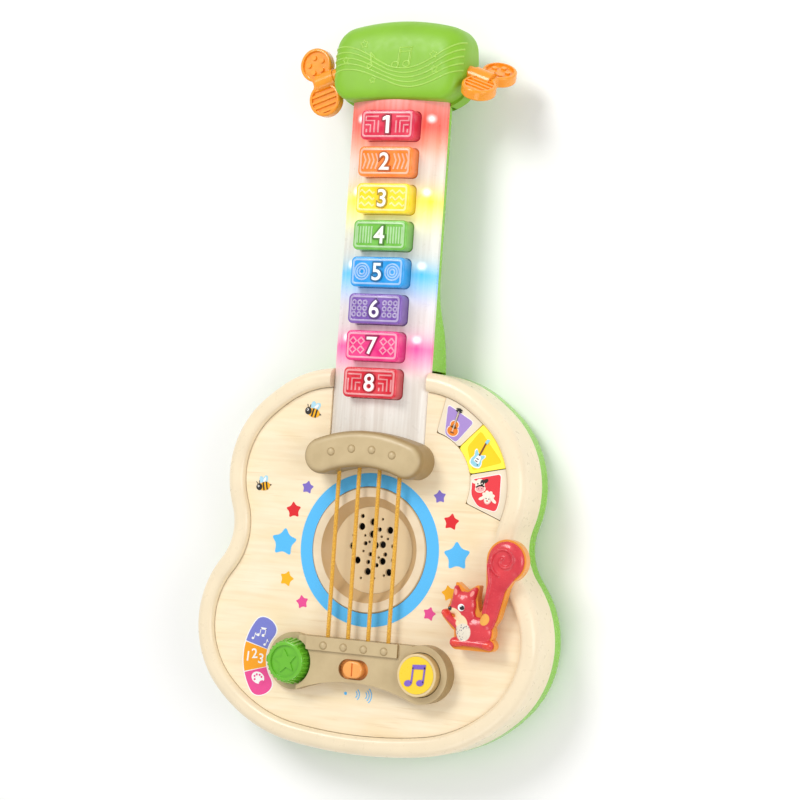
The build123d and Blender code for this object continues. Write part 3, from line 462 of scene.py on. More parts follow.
def finished_mesh(data, modifiers=()):
    """Mesh of a curve or mesh after its modifiers, with nothing left in the scene."""
    temp = bpy.data.objects.new("temp", data)
    bpy.context.scene.collection.objects.link(temp)
    for kind, settings in modifiers:
        modifier = temp.modifiers.new(kind, kind)
        for key, value in settings.items():
            setattr(modifier, key, value)
    graph = bpy.context.evaluated_depsgraph_get()
    mesh = bpy.data.meshes.new_from_object(temp.evaluated_get(graph))
    bpy.data.objects.remove(temp)
    return mesh


def smooth(mesh, angle=40):
    mesh.shade_smooth()
    mesh.set_sharp_from_angle(angle=radians(angle))
    return mesh


def joined(meshes):
    """One mesh from several."""
    work = bmesh.new()
    for mesh in meshes:
        work.from_mesh(mesh)
    return finished_bmesh(work, "joined")


def plate(loops, low, high, bevel=0.0):
    """Flat shape filled between two levels. Loops are lists of (x, y); a loop inside another is a hole."""
    curve = bpy.data.curves.new("plate", "CURVE")
    curve.dimensions = "2D"
    curve.fill_mode = "BOTH"
    curve.extrude = ((high - low) / 2 - bevel) * MM
    curve.bevel_depth = bevel * MM
    curve.bevel_resolution = 2
    curve.offset = -bevel * MM
    for loop in loops:
        spline = curve.splines.new("POLY")
        spline.points.add(len(loop) - 1)
        for point, (x, y) in zip(spline.points, loop):
            point.co = (x * MM, y * MM, 0, 1)
        spline.use_cyclic_u = True
    mesh = finished_mesh(curve)
    work = bmesh.new()
    work.from_mesh(mesh)
    bmesh.ops.remove_doubles(work, verts=work.verts, dist=1e-6)
    bmesh.ops.recalc_face_normals(work, faces=work.faces)
    bmesh.ops.translate(work, verts=work.verts, vec=(0, 0, (low + high) / 2 * MM))
    work.to_mesh(mesh)
    work.free()
    return smooth(mesh) if bevel else mesh


def wire(lines, radius):
    """Round bar along each list of (x, y, z)."""
    curve = bpy.data.curves.new("wire", "CURVE")
    curve.dimensions = "3D"
    curve.bevel_depth = radius * MM
    curve.bevel_resolution = 2
    curve.use_fill_caps = True
    for line in lines:
        spline = curve.splines.new("POLY")
        spline.points.add(len(line) - 1)
        for point, (x, y, z) in zip(spline.points, line):
            point.co = (x * MM, y * MM, z * MM, 1)
    return smooth(finished_mesh(curve), 60)


def circle(x, y, radius, steps=40):
    return [(x + radius * cos(tau * i / steps), y + radius * sin(tau * i / steps)) for i in range(steps)]


def moved(loop, x, y, scale=1.0, turn=0.0):
    c, s = cos(radians(turn)) * scale, sin(radians(turn)) * scale
    return [(x + a * c - b * s, y + a * s + b * c) for a, b in loop]


def ellipse(x, y, long, short, turn=0.0, steps=32):
    loop = [(long * cos(tau * i / steps), short * sin(tau * i / steps)) for i in range(steps)]
    return moved(loop, x, y, 1.0, turn)


def rounded(points, radius, steps=5):
    """Polygon with its corners rounded."""
    loop = []
    for before, corner, after in zip(points[-1:] + points[:-1], points, points[1:] + points[:1]):
        corner = Vector(corner)
        ends = []
        for other in (before, after):
            edge = Vector(other) - corner
            ends.append(corner + edge.normalized() * min(radius, edge.length * 0.48))
        for i in range(steps + 1):
            t = i / steps
            p = ends[0] * (1 - t) ** 2 + corner * 2 * t * (1 - t) + ends[1] * t ** 2
            loop.append((p.x, p.y))
    return loop


def rectangle(x, y, width, height, radius=0.0, turn=0.0):
    corner_signs = ((-1, -1), (1, -1), (1, 1), (-1, 1))
    points = moved([(a * width / 2, b * height / 2) for a, b in corner_signs], x, y, 1.0, turn)
    return rounded(points, radius) if radius else points


def star(x, y, radius, turn=0.0, inner=0.52, soft=0.3):
    points = []
    for step in range(10):
        reach = radius if step % 2 == 0 else radius * inner
        angle = radians(90 + turn + 36 * step)
        points.append((x + reach * cos(angle), y + reach * sin(angle)))
    return rounded(points, radius * soft, 4)


# ---- camera
# The view looks down on the toy from the side of its lever.
VIEW_YAW, VIEW_PITCH, VIEW_ROLL = 25.69, -1.78, 3.93
VIEW_DISTANCE = 1.413
VIEW_TARGET = Vector((13.1 * MM, 86.6 * MM, panel_top * MM))
VIEW_LENS, SENSOR = 111.5, 36.0


def add_camera():
    yaw, pitch, roll = radians(VIEW_YAW), radians(VIEW_PITCH), radians(VIEW_ROLL)
    towards = Vector((sin(yaw) * cos(pitch), sin(pitch), cos(yaw) * cos(pitch)))
    up = Vector((0, 1, 0)) - towards.y * towards
    up.normalize()
    right = up.cross(towards)
    image_right = right * cos(roll) + up * sin(roll)
    image_up = up * cos(roll) - right * sin(roll)
    data = bpy.data.cameras.new("camera")
    data.lens, data.sensor_width = VIEW_LENS, SENSOR
    data.clip_start, data.clip_end = 0.05, 20
    camera = bpy.data.objects.new("camera", data)
    turn = Matrix((image_right, image_up, towards)).transposed().to_4x4()
    camera.matrix_world = Matrix.Translation(VIEW_TARGET + towards * VIEW_DISTANCE) @ turn
    bpy.context.scene.collection.objects.link(camera)
    bpy.context.scene.camera = camera


def add_area_light(name, place, aim, size, power, colour=(1, 1, 1)):
    data = bpy.data.lights.new(name, "AREA")
    data.shape = "DISK"
    data.size, data.energy, data.color = size, power, colour
    light = bpy.data.objects.new(name, data)
    light.location = place
    light.rotation_euler = (Vector(aim) - Vector(place)).to_track_quat("-Z", "Y").to_euler()
    bpy.context.scene.collection.objects.link(light)


def add_studio():
    """Pale floor under the toy and soft light, mostly from beyond the head."""
    work = bmesh.new()
    bmesh.ops.create_grid(work, x_segments=12, y_segments=12, size=3.0)
    for vertex in work.verts:
        vertex.co.z = -0.0004 + 0.6 * max(0.0, hypot(vertex.co.x, vertex.co.y) - 1.6) ** 2
    mesh = finished_bmesh(work, "floor")
    mesh.shade_smooth()
    s = Shader("studio_floor")
    s.paint(s.mix(s.noise(3, 2), srgb(250, 250, 250), srgb(255, 255, 255)))
    s.set(Roughness=0.6)
    mesh.materials.append(s.material)
    floor = bpy.data.objects.new("floor", mesh)
    bpy.context.scene.collection.objects.link(floor)
    add_area_light("key_light", (-0.5, 0.9, 1.3), (0, 0.05, 0), 0.7, 12, (1.0, 0.99, 0.97))
    add_area_light("side_light", (1.2, 0.1, 0.9), (0, 0.05, 0), 0.8, 6)
    add_area_light("foot_light", (0.1, -1.2, 1.0), (0, 0.0, 0), 0.8, 3)
    world = bpy.data.worlds.new("studio_world")
    world.use_nodes = True
    background = world.node_tree.nodes["Background"]
    background.inputs["Color"].default_value = (1.0, 1.0, 1.0, 1.0)
    background.inputs["Strength"].default_value = 0.55
    bpy.context.scene.world = world


add_camera()
add_studio()
bpy.context.scene.view_settings.view_transform = "Standard"

# ---- strings
def twisted_string(number):
    """Three strands laid round each other along the CAD string."""
    low, high = corners(f"string_{number}")
    centre_x, centre_z = (low.x + high.x) / 2, (low.z + high.z) / 2
    thickness = high.x - low.x
    strand, lay_length, steps_per_turn = thickness * 0.27, 4.6, 12
    turns = (high.y - low.y) / lay_length
    steps = int(turns * steps_per_turn)
    lines = []
    for phase in range(3):
        line = []
        for i in range(steps + 1):
            angle = tau * (i / steps_per_turn + phase / 3)
            reach = thickness / 2 - strand
            y = high.y - (high.y - low.y) * i / steps
            line.append((centre_x + reach * cos(angle), y, centre_z + reach * sin(angle)))
        lines.append(line)
    piece = add_piece(f"string_{number}_cord", wire(lines, strand), cord_yellow, HOUSING)
    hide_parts(f"string_{number}")


for string_number in range(1, 5):
    twisted_string(string_number)

# ---- prints on the panel
PRINT = 0.09                    # how far an inked print or sticker stands up, in mm
SUNK = 0.04                     # how far it reaches into what is under it, in mm
SKY, SUN, VIOLET = srgb(86, 190, 250), srgb(255, 184, 10), srgb(128, 110, 200)
CHERRY, ROSE, TANGERINE = srgb(226, 30, 40), srgb(238, 78, 150), srgb(255, 166, 20)

ink_sky = printed("ink_sky", SKY)
ink_sun = printed("ink_sun", SUN)
ink_violet = printed("ink_violet", VIOLET)
ink_cherry = printed("ink_cherry", CHERRY)
ink_rose = printed("ink_rose", ROSE)
ink_white = printed("ink_white", WHITE)
ink_coal = printed("ink_coal", COAL)
ink_blue = printed("ink_blue", srgb(122, 128, 208))
ink_orange = printed("ink_orange", TANGERINE)
ink_lavender = printed("ink_lavender", srgb(172, 142, 212))
ink_red = printed("ink_red", srgb(236, 56, 66))
ink_cream = printed("ink_cream", srgb(252, 240, 222))
ink_wing = printed("ink_wing", srgb(176, 222, 240))
ink_brown = printed("ink_brown", srgb(120, 66, 30))
ink_amber = printed("ink_amber", srgb(238, 132, 26))
ink_pale_blue = printed("ink_pale_blue", srgb(150, 214, 232))
ink_pink = printed("ink_pink", srgb(248, 178, 176))


def print_shape(name, loops, material, level=0, base=None, body=HOUSING):
    """A printed shape; level counts the layers of ink under it."""
    base = panel_top if base is None else base
    low = base - SUNK + level * PRINT
    return add_piece(name, plate(loops, low, low + PRINT + SUNK), material, body)


def print_group(name, shapes, base=None, body=HOUSING):
    """Printed picture: a list of (material, level, loops) becomes one piece for each ink."""
    base = panel_top if base is None else base
    by_ink = {}
    for ink, level, loops in shapes:
        low = base - SUNK + level * PRINT
        by_ink.setdefault(ink.name, (ink, []))[1].append(plate(loops, low, low + PRINT + SUNK))
    for ink, meshes in by_ink.values():
        add_piece(f"{name}_{ink.name}", joined(meshes), ink, body)


def placed(shapes, x, y, scale, turn):
    """The shapes of a picture, moved to where they are printed."""
    return [(ink, level, [moved(loop, x, y, scale, turn) for loop in loops]) for ink, level, loops in shapes]


print_shape("sound_hole_ring", [circle(0, 0, 44.0, 120), circle(0, 0, 36.4, 120)], ink_sky)

# Stars in mirrored pairs round the sound hole: ink, x, y, radius, turn
STARS = (
    (ink_violet, 42.2, 33.2, 4.4, 8), (ink_cherry, 50.3, 19.5, 5.5, -6), (ink_sky, 55.2, 0.5, 9.4, 4),
    (ink_sun, 51.8, -20.5, 5.2, 14), (ink_rose, 40.6, -33.1, 4.6, -12),
)
for ink, x, y, radius, turn in STARS:
    for side in (-1, 1):
        side_name = "left" if side < 0 else "right"
        print_shape(f"star_{ink.name}_{side_name}", [star(side * x, y, radius, side * turn)], ink)


def bee_picture():
    """Round-bodied bee seen from the side, flying to the left."""
    stripes = [
        rounded([(a, -2.7), (a + 1.1, -2.7), (a + 1.3, 2.7), (a + 0.2, 2.7)], 0.4) for a in (-0.8, 1.7)
    ]
    return [
        (ink_wing, 0, [ellipse(1.6, 4.0, 3.4, 1.9, 55)]),
        (ink_wing, 1, [ellipse(-0.8, 4.2, 3.0, 1.7, 100)]),
        (ink_white, 2, [ellipse(1.4, 4.2, 2.0, 0.9, 55)]),
        (ink_sun, 2, [ellipse(0.6, 0, 4.2, 2.9)]),
        (ink_coal, 1, [[(4.3, 0.9), (6.2, 0.0), (4.3, -0.9)]]),
        (ink_coal, 3, [circle(-3.4, 0.3, 2.3)]),
        (ink_white, 4, [circle(-4.0, 0.9, 0.75)]),
        (ink_coal, 5, [circle(-4.2, 0.9, 0.4)]),
        (ink_coal, 1, [rectangle(-4.6, 3.2, 0.45, 2.6, 0.2, 25), rectangle(-3.0, 3.3, 0.45, 2.6, 0.2, -8)]),
    ] + [(ink_coal, 3, [stripe]) for stripe in stripes]


print_group("bee_upper", placed(bee_picture(), -42.1, 76.6, 0.92, -12))
print_group("bee_lower", placed(bee_picture(), -71.0, 32.0, 0.86, 14))


# ---- notes, numbers and icons
def note_loops(x, y, scale=1.0, turn=0.0, pair=True):
    """Quaver, or a pair of quavers under one beam: heads, stems and beam as loops."""
    loops = [ellipse(-2.2 if pair else 0, -3.0, 1.45, 1.1, 20)]
    if pair:
        loops += [
            ellipse(2.4, -2.2, 1.45, 1.1, 20),
            [(-1.25, -2.9), (-0.65, -2.9), (-0.65, 2.9), (-1.25, 2.9)],
            [(3.2, -2.1), (3.8, -2.1), (3.8, 3.6), (3.2, 3.6)],
            [(-1.25, 2.1), (3.8, 2.8), (3.8, 4.4), (-1.25, 3.7)],
        ]
    else:
        loops += [
            [(0.85, -2.9), (1.4, -2.9), (1.4, 3.4), (0.85, 3.4)],
            [(0.85, 3.4), (1.4, 3.4), (2.2, 1.9), (3.2, 1.0), (3.0, 0.3), (1.6, 1.2)],
        ]
    return [moved(loop, x, y, scale, turn) for loop in loops]


def sector(inner, outer, start, stop, cap_start=0.0, cap_stop=0.0, steps=24):
    """Part of a ring round the knob; cap_start and cap_stop round its ends, in mm."""
    mid, half = (inner + outer) / 2, (outer - inner) / 2
    points = [(inner, radians(start + (stop - start) * i / steps)) for i in range(steps + 1)]
    ends = []
    for cap, angle, sign in ((cap_stop, stop, 1), (cap_start, start, -1)):
        end = []
        for i in range(1, 14):
            t = pi * i / 14
            radial = mid - sign * half * cos(t)
            end.append((radial, radians(angle) + sign * cap * sin(t) ** 0.8 / radial))
        ends.append(end if cap else [])
    points += ends[0]
    points += [(outer, radians(stop - (stop - start) * i / steps)) for i in range(steps + 1)]
    points += ends[1]
    return [(knob_centre.x + r * cos(a), knob_centre.y + r * sin(a)) for r, a in points]


def polar(radius, angle):
    return knob_centre.x + radius * cos(radians(angle)), knob_centre.y + radius * sin(radians(angle))


def digits_mesh(text, x, y, low, high, height, grow=0.0, bevel=0.0, turn=0.0):
    """Numeral as a solid between two levels."""
    font = bpy.data.curves.new("digits", "FONT")
    font.body = text
    font.size = height * 1.42 * MM
    font.align_x, font.align_y = "CENTER", "CENTER"
    font.offset = grow * MM - bevel * MM
    font.extrude = ((high - low) / 2 - bevel) * MM
    font.bevel_depth = bevel * MM
    font.bevel_resolution = 1
    mesh = finished_mesh(font)
    xs = [vertex.co.x for vertex in mesh.vertices]
    ys = [vertex.co.y for vertex in mesh.vertices]
    centre = Vector(((min(xs) + max(xs)) / 2, (min(ys) + max(ys)) / 2, 0))
    place = Matrix.Translation((x * MM, y * MM, (low + high) / 2 * MM))
    turned = Matrix.Rotation(radians(turn), 4, "Z")
    mesh.transform(place @ turned @ Matrix.Translation(-centre))
    return mesh


LABEL_INNER, LABEL_OUTER = 19.8, 34.6
label_border = sector(LABEL_INNER - 0.7, LABEL_OUTER + 0.7, 144, 214, 7.6, 7.6)
print_shape("mode_label_border", [label_border], ink_white)
print_shape("mode_label_music", [sector(LABEL_INNER, LABEL_OUTER, 144, 165.6, 7.0, 0)], ink_blue, 1)
print_shape("mode_label_numbers", [sector(LABEL_INNER, LABEL_OUTER, 166.6, 195.4)], ink_orange, 1)
print_shape("mode_label_colours", [sector(LABEL_INNER, LABEL_OUTER, 196.4, 214, 0, 7.0)], ink_rose, 1)
notes = []
for radius, angle, scale, pair in (
    (31.2, 157, 0.62, False), (27.8, 149, 0.72, True), (22.6, 156.5, 0.6, False),
):
    notes += [(ink_white, 2, [loop]) for loop in note_loops(*polar(radius, angle), scale, -12, pair)]
print_group("mode_notes", notes)
number_low, number_high = panel_top + 2 * PRINT - SUNK, panel_top + 3 * PRINT
number_meshes = [
    digits_mesh(text, *polar(radius, angle), number_low, number_high, 5.6, 0.1, turn=turn)
    for text, radius, angle, turn in (("1", 31.6, 180.5, -4), ("2", 27.4, 176.5, 6), ("3", 23.0, 182.5, -6))
]
add_piece("mode_numbers", joined(number_meshes), ink_white, HOUSING)
palette_x, palette_y = polar(27.0, 207)
palette = [(ink_white, 2, [ellipse(palette_x, palette_y, 4.3, 3.4, -15)])]
for angle in (20, 65, 110, 155, 215):
    dot = (palette_x + 2.5 * cos(radians(angle)), palette_y + 1.9 * sin(radians(angle)))
    palette.append((ink_rose, 3, [circle(*dot, 0.62, 16)]))
palette.append((ink_rose, 3, [ellipse(palette_x + 2.6, palette_y - 2.5, 1.7, 1.1, 30)]))
print_group("mode_palette", palette)


def arc_band(x, y, radius, width, half_angle, steps=14):
    """Thin arc that opens to the left, as a wave of sound."""
    angles = [radians(-half_angle + 2 * half_angle * i / steps) for i in range(steps + 1)]
    outer = [(x + (radius + width / 2) * cos(a), y + (radius + width / 2) * sin(a)) for a in angles]
    inner = [(x + (radius - width / 2) * cos(a), y + (radius - width / 2) * sin(a)) for a in reversed(angles)]
    return outer + inner


volume_y = corners("bridge_cover")[0].y + 0.8
volume = [(ink_sky, 0, [circle(-8.6, volume_y, 0.95, 20)])]
for start_x, waves in ((-3.6, 2), (2.6, 3)):
    for wave in range(waves):
        reach = 2.4 + 1.5 * wave
        volume.append((ink_sky, 0, [arc_band(start_x, volume_y, reach, 0.55, 48)]))
print_group("volume_icon", volume)

# ---- stickers on the style buttons
STICKERS = {
    "acoustic": (ink_lavender, [(44.0, 85.4), (60.4, 76.2), (50.2, 64.4), (43.2, 68.8)]),
    "electric": (None, [(57.4, 62.0), (65.2, 71.8), (79.6, 54.6), (61.6, 49.2)]),
    "animals": (ink_red, [
        (61.9, 44.2), (79.2, 48.2), (79.2, 33.0), (77.4, 27.0), (66.4, 29.4), (61.9, 35.4),
    ]),
}
lit_yellow = moulded("style_yellow", srgb(255, 200, 8), 0.3, coat=0.3, glow=0.2)
fan_lit = moulded("fan_lit", srgb(255, 232, 70), 0.3, coat=0.3, glow=0.25)
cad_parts["style_button_electric"].material_slots[0].material = fan_lit


def sticker(name):
    """Printed label on a style button with a pale edge round it."""
    ink, points = STICKERS[name]
    body = f"style_button_{name}"
    middle_x = sum(x for x, y in points) / len(points)
    middle_y = sum(y for x, y in points) / len(points)
    wide = [(middle_x + (x - middle_x) * 1.05, middle_y + (y - middle_y) * 1.05) for x, y in points]
    edge_ink, face_ink = (ink_white, ink) if ink else (fan_lit, lit_yellow)
    print_shape(f"sticker_edge_{name}", [rounded(wide, 2.4)], edge_ink, 0, fan_top, body)
    print_shape(f"sticker_{name}", [rounded(points, 2.2)], face_ink, 1, fan_top, body)


for style in STICKERS:
    sticker(style)


def acoustic_picture():
    """Generic wooden guitar with a round sound hole."""
    body_loops = [ellipse(0, -2.9, 3.5, 2.9), ellipse(0, 0.9, 2.6, 2.3)]
    edge_loops = [ellipse(0, -2.9, 4.0, 3.4), ellipse(0, 0.9, 3.1, 2.8)]
    return [(ink_cream, 2, [loop]) for loop in edge_loops] + [
        (ink_amber, 3, [loop]) for loop in body_loops
    ] + [
        (ink_brown, 4, [circle(0, 0.2, 1.15, 20)]),
        (ink_brown, 4, [rectangle(0, -3.9, 2.6, 0.7, 0.3)]),
        (ink_brown, 4, [rectangle(0, 5.6, 1.2, 6.6, 0.2)]),
        (ink_coal, 5, [rounded([(-1.3, 8.6), (1.3, 8.6), (1.1, 11.2), (-1.1, 11.2)], 0.4)]),
    ] + [
        (ink_coal, 5, [circle(side * 1.6, level, 0.45, 12)]) for side in (-1, 1) for level in (9.3, 10.4)
    ] + [
        (ink_cream, 6, [rectangle(offset, 3.0, 0.14, 12.5)]) for offset in (-0.3, 0.0, 0.3)
    ]


def electric_picture():
    """Generic electric guitar with two horns."""
    outline = [(-3.4, -4.6), (0, -5.6), (3.4, -4.4), (3.5, -1.8), (2.4, 0.2), (3.6, 2.6), (2.9, 3.9),
               (1.2, 2.4), (-1.0, 2.4), (-3.0, 4.6), (-3.9, 3.2), (-2.5, 0.3), (-3.7, -1.8)]
    guard = [(-2.0, -2.6), (2.2, -3.0), (1.8, 1.2), (0.8, 2.2), (-1.0, 2.0)]
    return [
        (ink_white, 2, [[(px * 1.18, py * 1.14) for px, py in rounded(outline, 1.4)]]),
        (ink_pale_blue, 3, [rounded(outline, 1.4)]),
        (ink_white, 4, [rounded(guard, 0.8)]),
        (ink_brown, 5, [rectangle(0, 6.2, 1.0, 8.8, 0.2)]),
        (ink_pale_blue, 5, [rounded([(-0.9, 10.4), (1.0, 10.2), (1.5, 13.6), (-0.4, 13.2)], 0.5)]),
        (ink_coal, 5, [rectangle(0, -0.4, 1.7, 0.5, 0.1)]),
        (ink_coal, 5, [rectangle(0, -2.0, 1.7, 0.5, 0.1)]),
        (ink_coal, 5, [circle(1.7, -3.6, 0.4, 12)]),
    ]


def calf_picture():
    """Generic calf's head: ears, one dark patch, broad pink muzzle."""
    return [
        (ink_cream, 2, [ellipse(-3.6, 2.4, 1.7, 1.0, -25)]),
        (ink_coal, 2, [ellipse(3.8, 2.2, 1.8, 1.1, 25)]),
        (ink_cream, 3, [ellipse(0, 0.6, 3.1, 3.3)]), (ink_cream, 3, [ellipse(0, -2.0, 3.4, 2.3)]),
        (ink_coal, 4, [ellipse(1.7, 1.6, 1.3, 1.6, -15)]), (ink_pink, 4, [ellipse(0, -2.2, 2.7, 1.6)]),
        (ink_brown, 5, [circle(-1.0, -2.0, 0.3, 10)]), (ink_brown, 5, [circle(1.0, -2.0, 0.3, 10)]),
        (ink_coal, 5, [circle(-1.3, 1.0, 0.42, 12)]), (ink_cream, 5, [circle(1.4, 1.0, 0.42, 12)]),
    ]


def lamb_picture():
    """Generic lamb's head: woolly crown, drooping ears, small face."""
    wool = []
    for step in range(72):
        angle = tau * step / 72
        puff = 0.9 * abs(sin(4 * angle))
        wool.append(((3.3 + puff) * cos(angle), 1.2 + (2.7 + puff) * sin(angle)))
    return [
        (ink_cream, 2, [wool]),
        (ink_cream, 3, [ellipse(-4.0, -0.6, 1.7, 0.9, 30)]),
        (ink_cream, 3, [ellipse(4.0, -0.6, 1.7, 0.9, -30)]),
        (ink_cream, 4, [ellipse(0, 0.8, 2.9, 2.4)]), (ink_pink, 5, [ellipse(0, -1.0, 2.2, 2.3)]),
        (ink_cream, 6, [ellipse(0, -0.7, 1.9, 2.0)]),
        (ink_coal, 7, [circle(-0.9, 0.0, 0.38, 12)]), (ink_coal, 7, [circle(0.9, 0.0, 0.38, 12)]),
        (ink_red, 7, [ellipse(0, -1.3, 0.55, 0.4)]),
    ]


# Picture, the button that it is on, and its x, y, scale and turn
for picture, style, seat in (
    (acoustic_picture, "acoustic", (48.6, 73.4, 0.95, -16)),
    (electric_picture, "electric", (64.6, 56.2, 0.92, -27)),
    (calf_picture, "animals", (67.0, 41.2, 0.95, 8)),
    (lamb_picture, "animals", (72.2, 34.0, 0.98, -8)),
):
    print_group(picture.__name__, placed(picture(), *seat), fan_top, f"style_button_{style}")


# ---- finger ribs round the mode knob
def knob_ribs(count=26):
    """Round ribs of even thickness that lean in with the knob's flank."""
    foot, crest = (12.75, knob_high - 9.6), (11.25, knob_high - 1.1)
    ribs = []
    for index in range(count):
        angle = 360 * index / count
        ribs.append(wire([[(*polar(radius, angle), z) for radius, z in (foot, crest)]], 0.78))
    return joined(ribs)


add_piece("mode_knob_ribs", knob_ribs(), knob_green, "mode_knob")

# ---- note on the music button
note_purple = moulded("note_purple", srgb(128, 98, 200), 0.3, coat=0.3)
note_meshes = [plate([loop], disc_top - 0.1, disc_top + 0.45, 0.15)
               for loop in note_loops(disc_centre.x - 0.8, disc_centre.y - 0.2, 1.6, -4)]
add_piece("music_button_note", joined(note_meshes), note_purple, "music_button")


# ---- relief and numerals on the keys
def key_pattern(number):
    """Lines of the low relief on each key, round its middle; every key has its own pattern."""
    left, right = -9.6, 9.6
    lines = []
    for side, x in (("left", left), ("right", right)):
        if number in (1, 8):
            hook = [(x - 4, 4.6), (x + 4, 4.6), (x + 4, 2.2), (x - 1.5, 2.2), (x - 1.5, -4.6)]
            nested = [(x - 4, 2.2), (x - 4, -4.6)]
            inner = [(x + 0.9, -4.6), (x + 0.9, -0.2), (x + 4, -0.2)]
            bar = [(x + 3.4, -4.6), (x + 3.4, -2.6)]
            flip = -1 if (side == "left") != (number == 8) else 1
            lines += [[(x + flip * (px - x), py) for px, py in line] for line in (hook, nested, inner, bar)]
        elif number == 2:
            starts = [x - 4 + 2.6 * i for i in range(4)]
            lines += [[(start, -4.4), (start + 1.6, 0.5), (start, 4.4)] for start in starts]
        elif number == 3:
            for level in (-3.6, 0.0, 3.6):
                lines.append([(x - 4.6 + 1.15 * i, level + 1.0 * sin(i * pi / 2)) for i in range(9)])
        elif number == 4:
            lines += [[(x - 4.4 + 1.75 * i, -4.8), (x - 4.4 + 1.75 * i, 4.8)] for i in range(6)]
        elif number == 5:
            for radius in (1.6, 3.1, 4.6):
                loop = circle(x, 0, radius, 20)
                lines.append(loop + loop[:1])
        elif number == 6:
            for level in (-3.4, 0.0, 3.4):
                for offset in (-3.4, 0.0, 3.4):
                    loop = circle(x + offset, level, 1.15, 12)
                    lines.append(loop + loop[:1])
        else:
            for level in (-2.5, 2.5):
                for middle_x in (x - 2.5, x + 2.5):
                    diamond = [(middle_x, level + 2.1), (middle_x + 2.1, level),
                               (middle_x, level - 2.1), (middle_x - 2.1, level)]
                    lines.append(diamond + diamond[:1])
    return lines


def grown_one(grow):
    """Outline of the figure 1 with its flag, moved out by grow."""
    return [
        (-2.6 - grow, 2.3 - grow), (-0.4 - grow, 2.9 - grow), (-0.4 - grow, -5.0 - grow),
        (1.6 + grow, -5.0 - grow), (1.6 + grow, 5.0 + grow), (-0.4 - grow * 0.6, 5.0 + grow),
        (-2.6 - grow, 3.9 + grow),
    ]


def dress_key(number):
    """Raised rim and low relief in the key's tint, painted paler and brighter as a highlight, and a pale
    numeral with a dark edge.
    """
    y, body = key_y[number - 1], f"key_{number}"
    tint, slot_name = key_materials[number - 1], f"key_{KEY_NAMES[number - 1]}"
    rim = plate([rectangle(0, y, key_width - 2.6, key_height - 2.6, 2.2),
                 rectangle(0, y, key_width - 4.8, key_height - 4.8, 1.4)], key_top - 0.4, key_top + 0.5, 0.25)
    lines = [[(px, y + py, key_top) for px, py in line] for line in key_pattern(number)]
    relief = joined([rim, wire(lines, 0.55)])
    add_piece(f"key_{number}_relief", relief, relief_highlight_tint[number - 1], body)
    base, edge_top, face_top = key_top - 0.2, key_top + 0.7, key_top + 1.0
    if number == 1:
        edge = plate([rounded(grown_one(0.9), 0.8)], base, edge_top)
        face = plate([rounded(grown_one(0.05), 0.4)], base, face_top, 0.12)
        for mesh in (edge, face):
            mesh.transform(Matrix.Translation((0, y * MM, 0)))
    else:
        edge = digits_mesh(str(number), 0, y, base, edge_top, 9.8, 1.0)
        face = digits_mesh(str(number), 0, y, base, face_top, 9.8, 0.16, 0.12)
    add_piece(f"key_{number}_numeral_edge", edge, tint_dark[number - 1], body)
    add_piece(f"key_{number}_numeral", face, tint_pale[number - 1], body)


# painted highlight: the key relief is the key's tint mixed with white and made to glow a little more
relief_highlight_tint = [lit_key(f"relief_{name}", mixed(colour, WHITE, 0.3), lit + 0.05)
             for name, colour, lit in zip(KEY_NAMES, KEY_COLOURS, key_lit)]
tint_dark = [moulded(f"numeral_edge_{name}", shade(colour, 0.45), 0.3, coat=0.3)
             for name, colour in zip(KEY_NAMES, KEY_COLOURS)]
tint_pale = [moulded(f"numeral_face_{name}", mixed(colour, WHITE, 0.88), 0.3, coat=0.3, glow=0.2)
             for name, colour in zip(KEY_NAMES, KEY_COLOURS)]
for key_number in range(1, KEY_COUNT + 1):
    dress_key(key_number)


# ---- relief on the head
def surface_of(mesh):
    """Gives the height of a mesh's upper side at (x, y), in mm."""
    tree = BVHTree.FromPolygons([v.co for v in mesh.vertices], [p.vertices for p in mesh.polygons])

    def height(x, y):
        hit = tree.ray_cast(Vector((x * MM, y * MM, 0.2)), Vector((0, 0, -1)))[0]
        return None if hit is None else hit.z / MM
    return height


def outline_of(node, level, count):
    """Evenly spaced points round the convex outline of a CAD node at a height, in mm."""
    found = [v.co.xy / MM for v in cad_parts[node].data.vertices if abs(v.co.z / MM - level) < 0.05]
    hull = [found[i] for i in geometry.convex_hull_2d(found)]
    legs = list(zip(hull, hull[1:] + hull[:1]))
    whole = sum((b - a).length for a, b in legs)
    points, walked, index = [], 0.0, 0
    for step in range(count):
        target = whole * step / count
        while walked + (legs[index][1] - legs[index][0]).length < target:
            walked += (legs[index][1] - legs[index][0]).length
            index += 1
        a, b = legs[index]
        points.append(a + (b - a) * ((target - walked) / (b - a).length))
    return points


def pillow(outline, low, high, spine_half, fullness, foot_fullness):
    """Closed dome over an outline: rings that shrink onto a short spine, steepest at the neck end."""
    foot_y = min(p.y for p in outline)
    mid_y = (foot_y + max(p.y for p in outline)) / 2
    reach_x = max(p.x for p in outline)
    rings, count = 26, len(outline)
    work = bmesh.new()
    previous = None
    for ring in range(rings + 1):
        t = 1 - cos(pi / 2 * ring / rings)
        row = []
        for point in outline:
            footward = max(0.0, (mid_y - point.y) / (mid_y - foot_y))
            power = fullness + (foot_fullness - fullness) * footward ** 3
            z = low + (high - low) * (1 - max(0.0, 1 - t) ** power) ** (1 / power)
            spine = Vector((spine_half * point.x / reach_x, mid_y))
            place = point + (spine - point) * t
            row.append(work.verts.new((place.x * MM, place.y * MM, z * MM)))
        if previous:
            for i in range(count):
                work.faces.new((previous[i], previous[(i + 1) % count], row[(i + 1) % count], row[i]))
        else:
            work.faces.new(list(reversed(row)))
        previous = row
    bmesh.ops.remove_doubles(work, verts=work.verts, dist=0.02 * MM)
    bmesh.ops.recalc_face_normals(work, faces=work.faces)
    return smooth(finished_bmesh(work, "pillow"), 50)


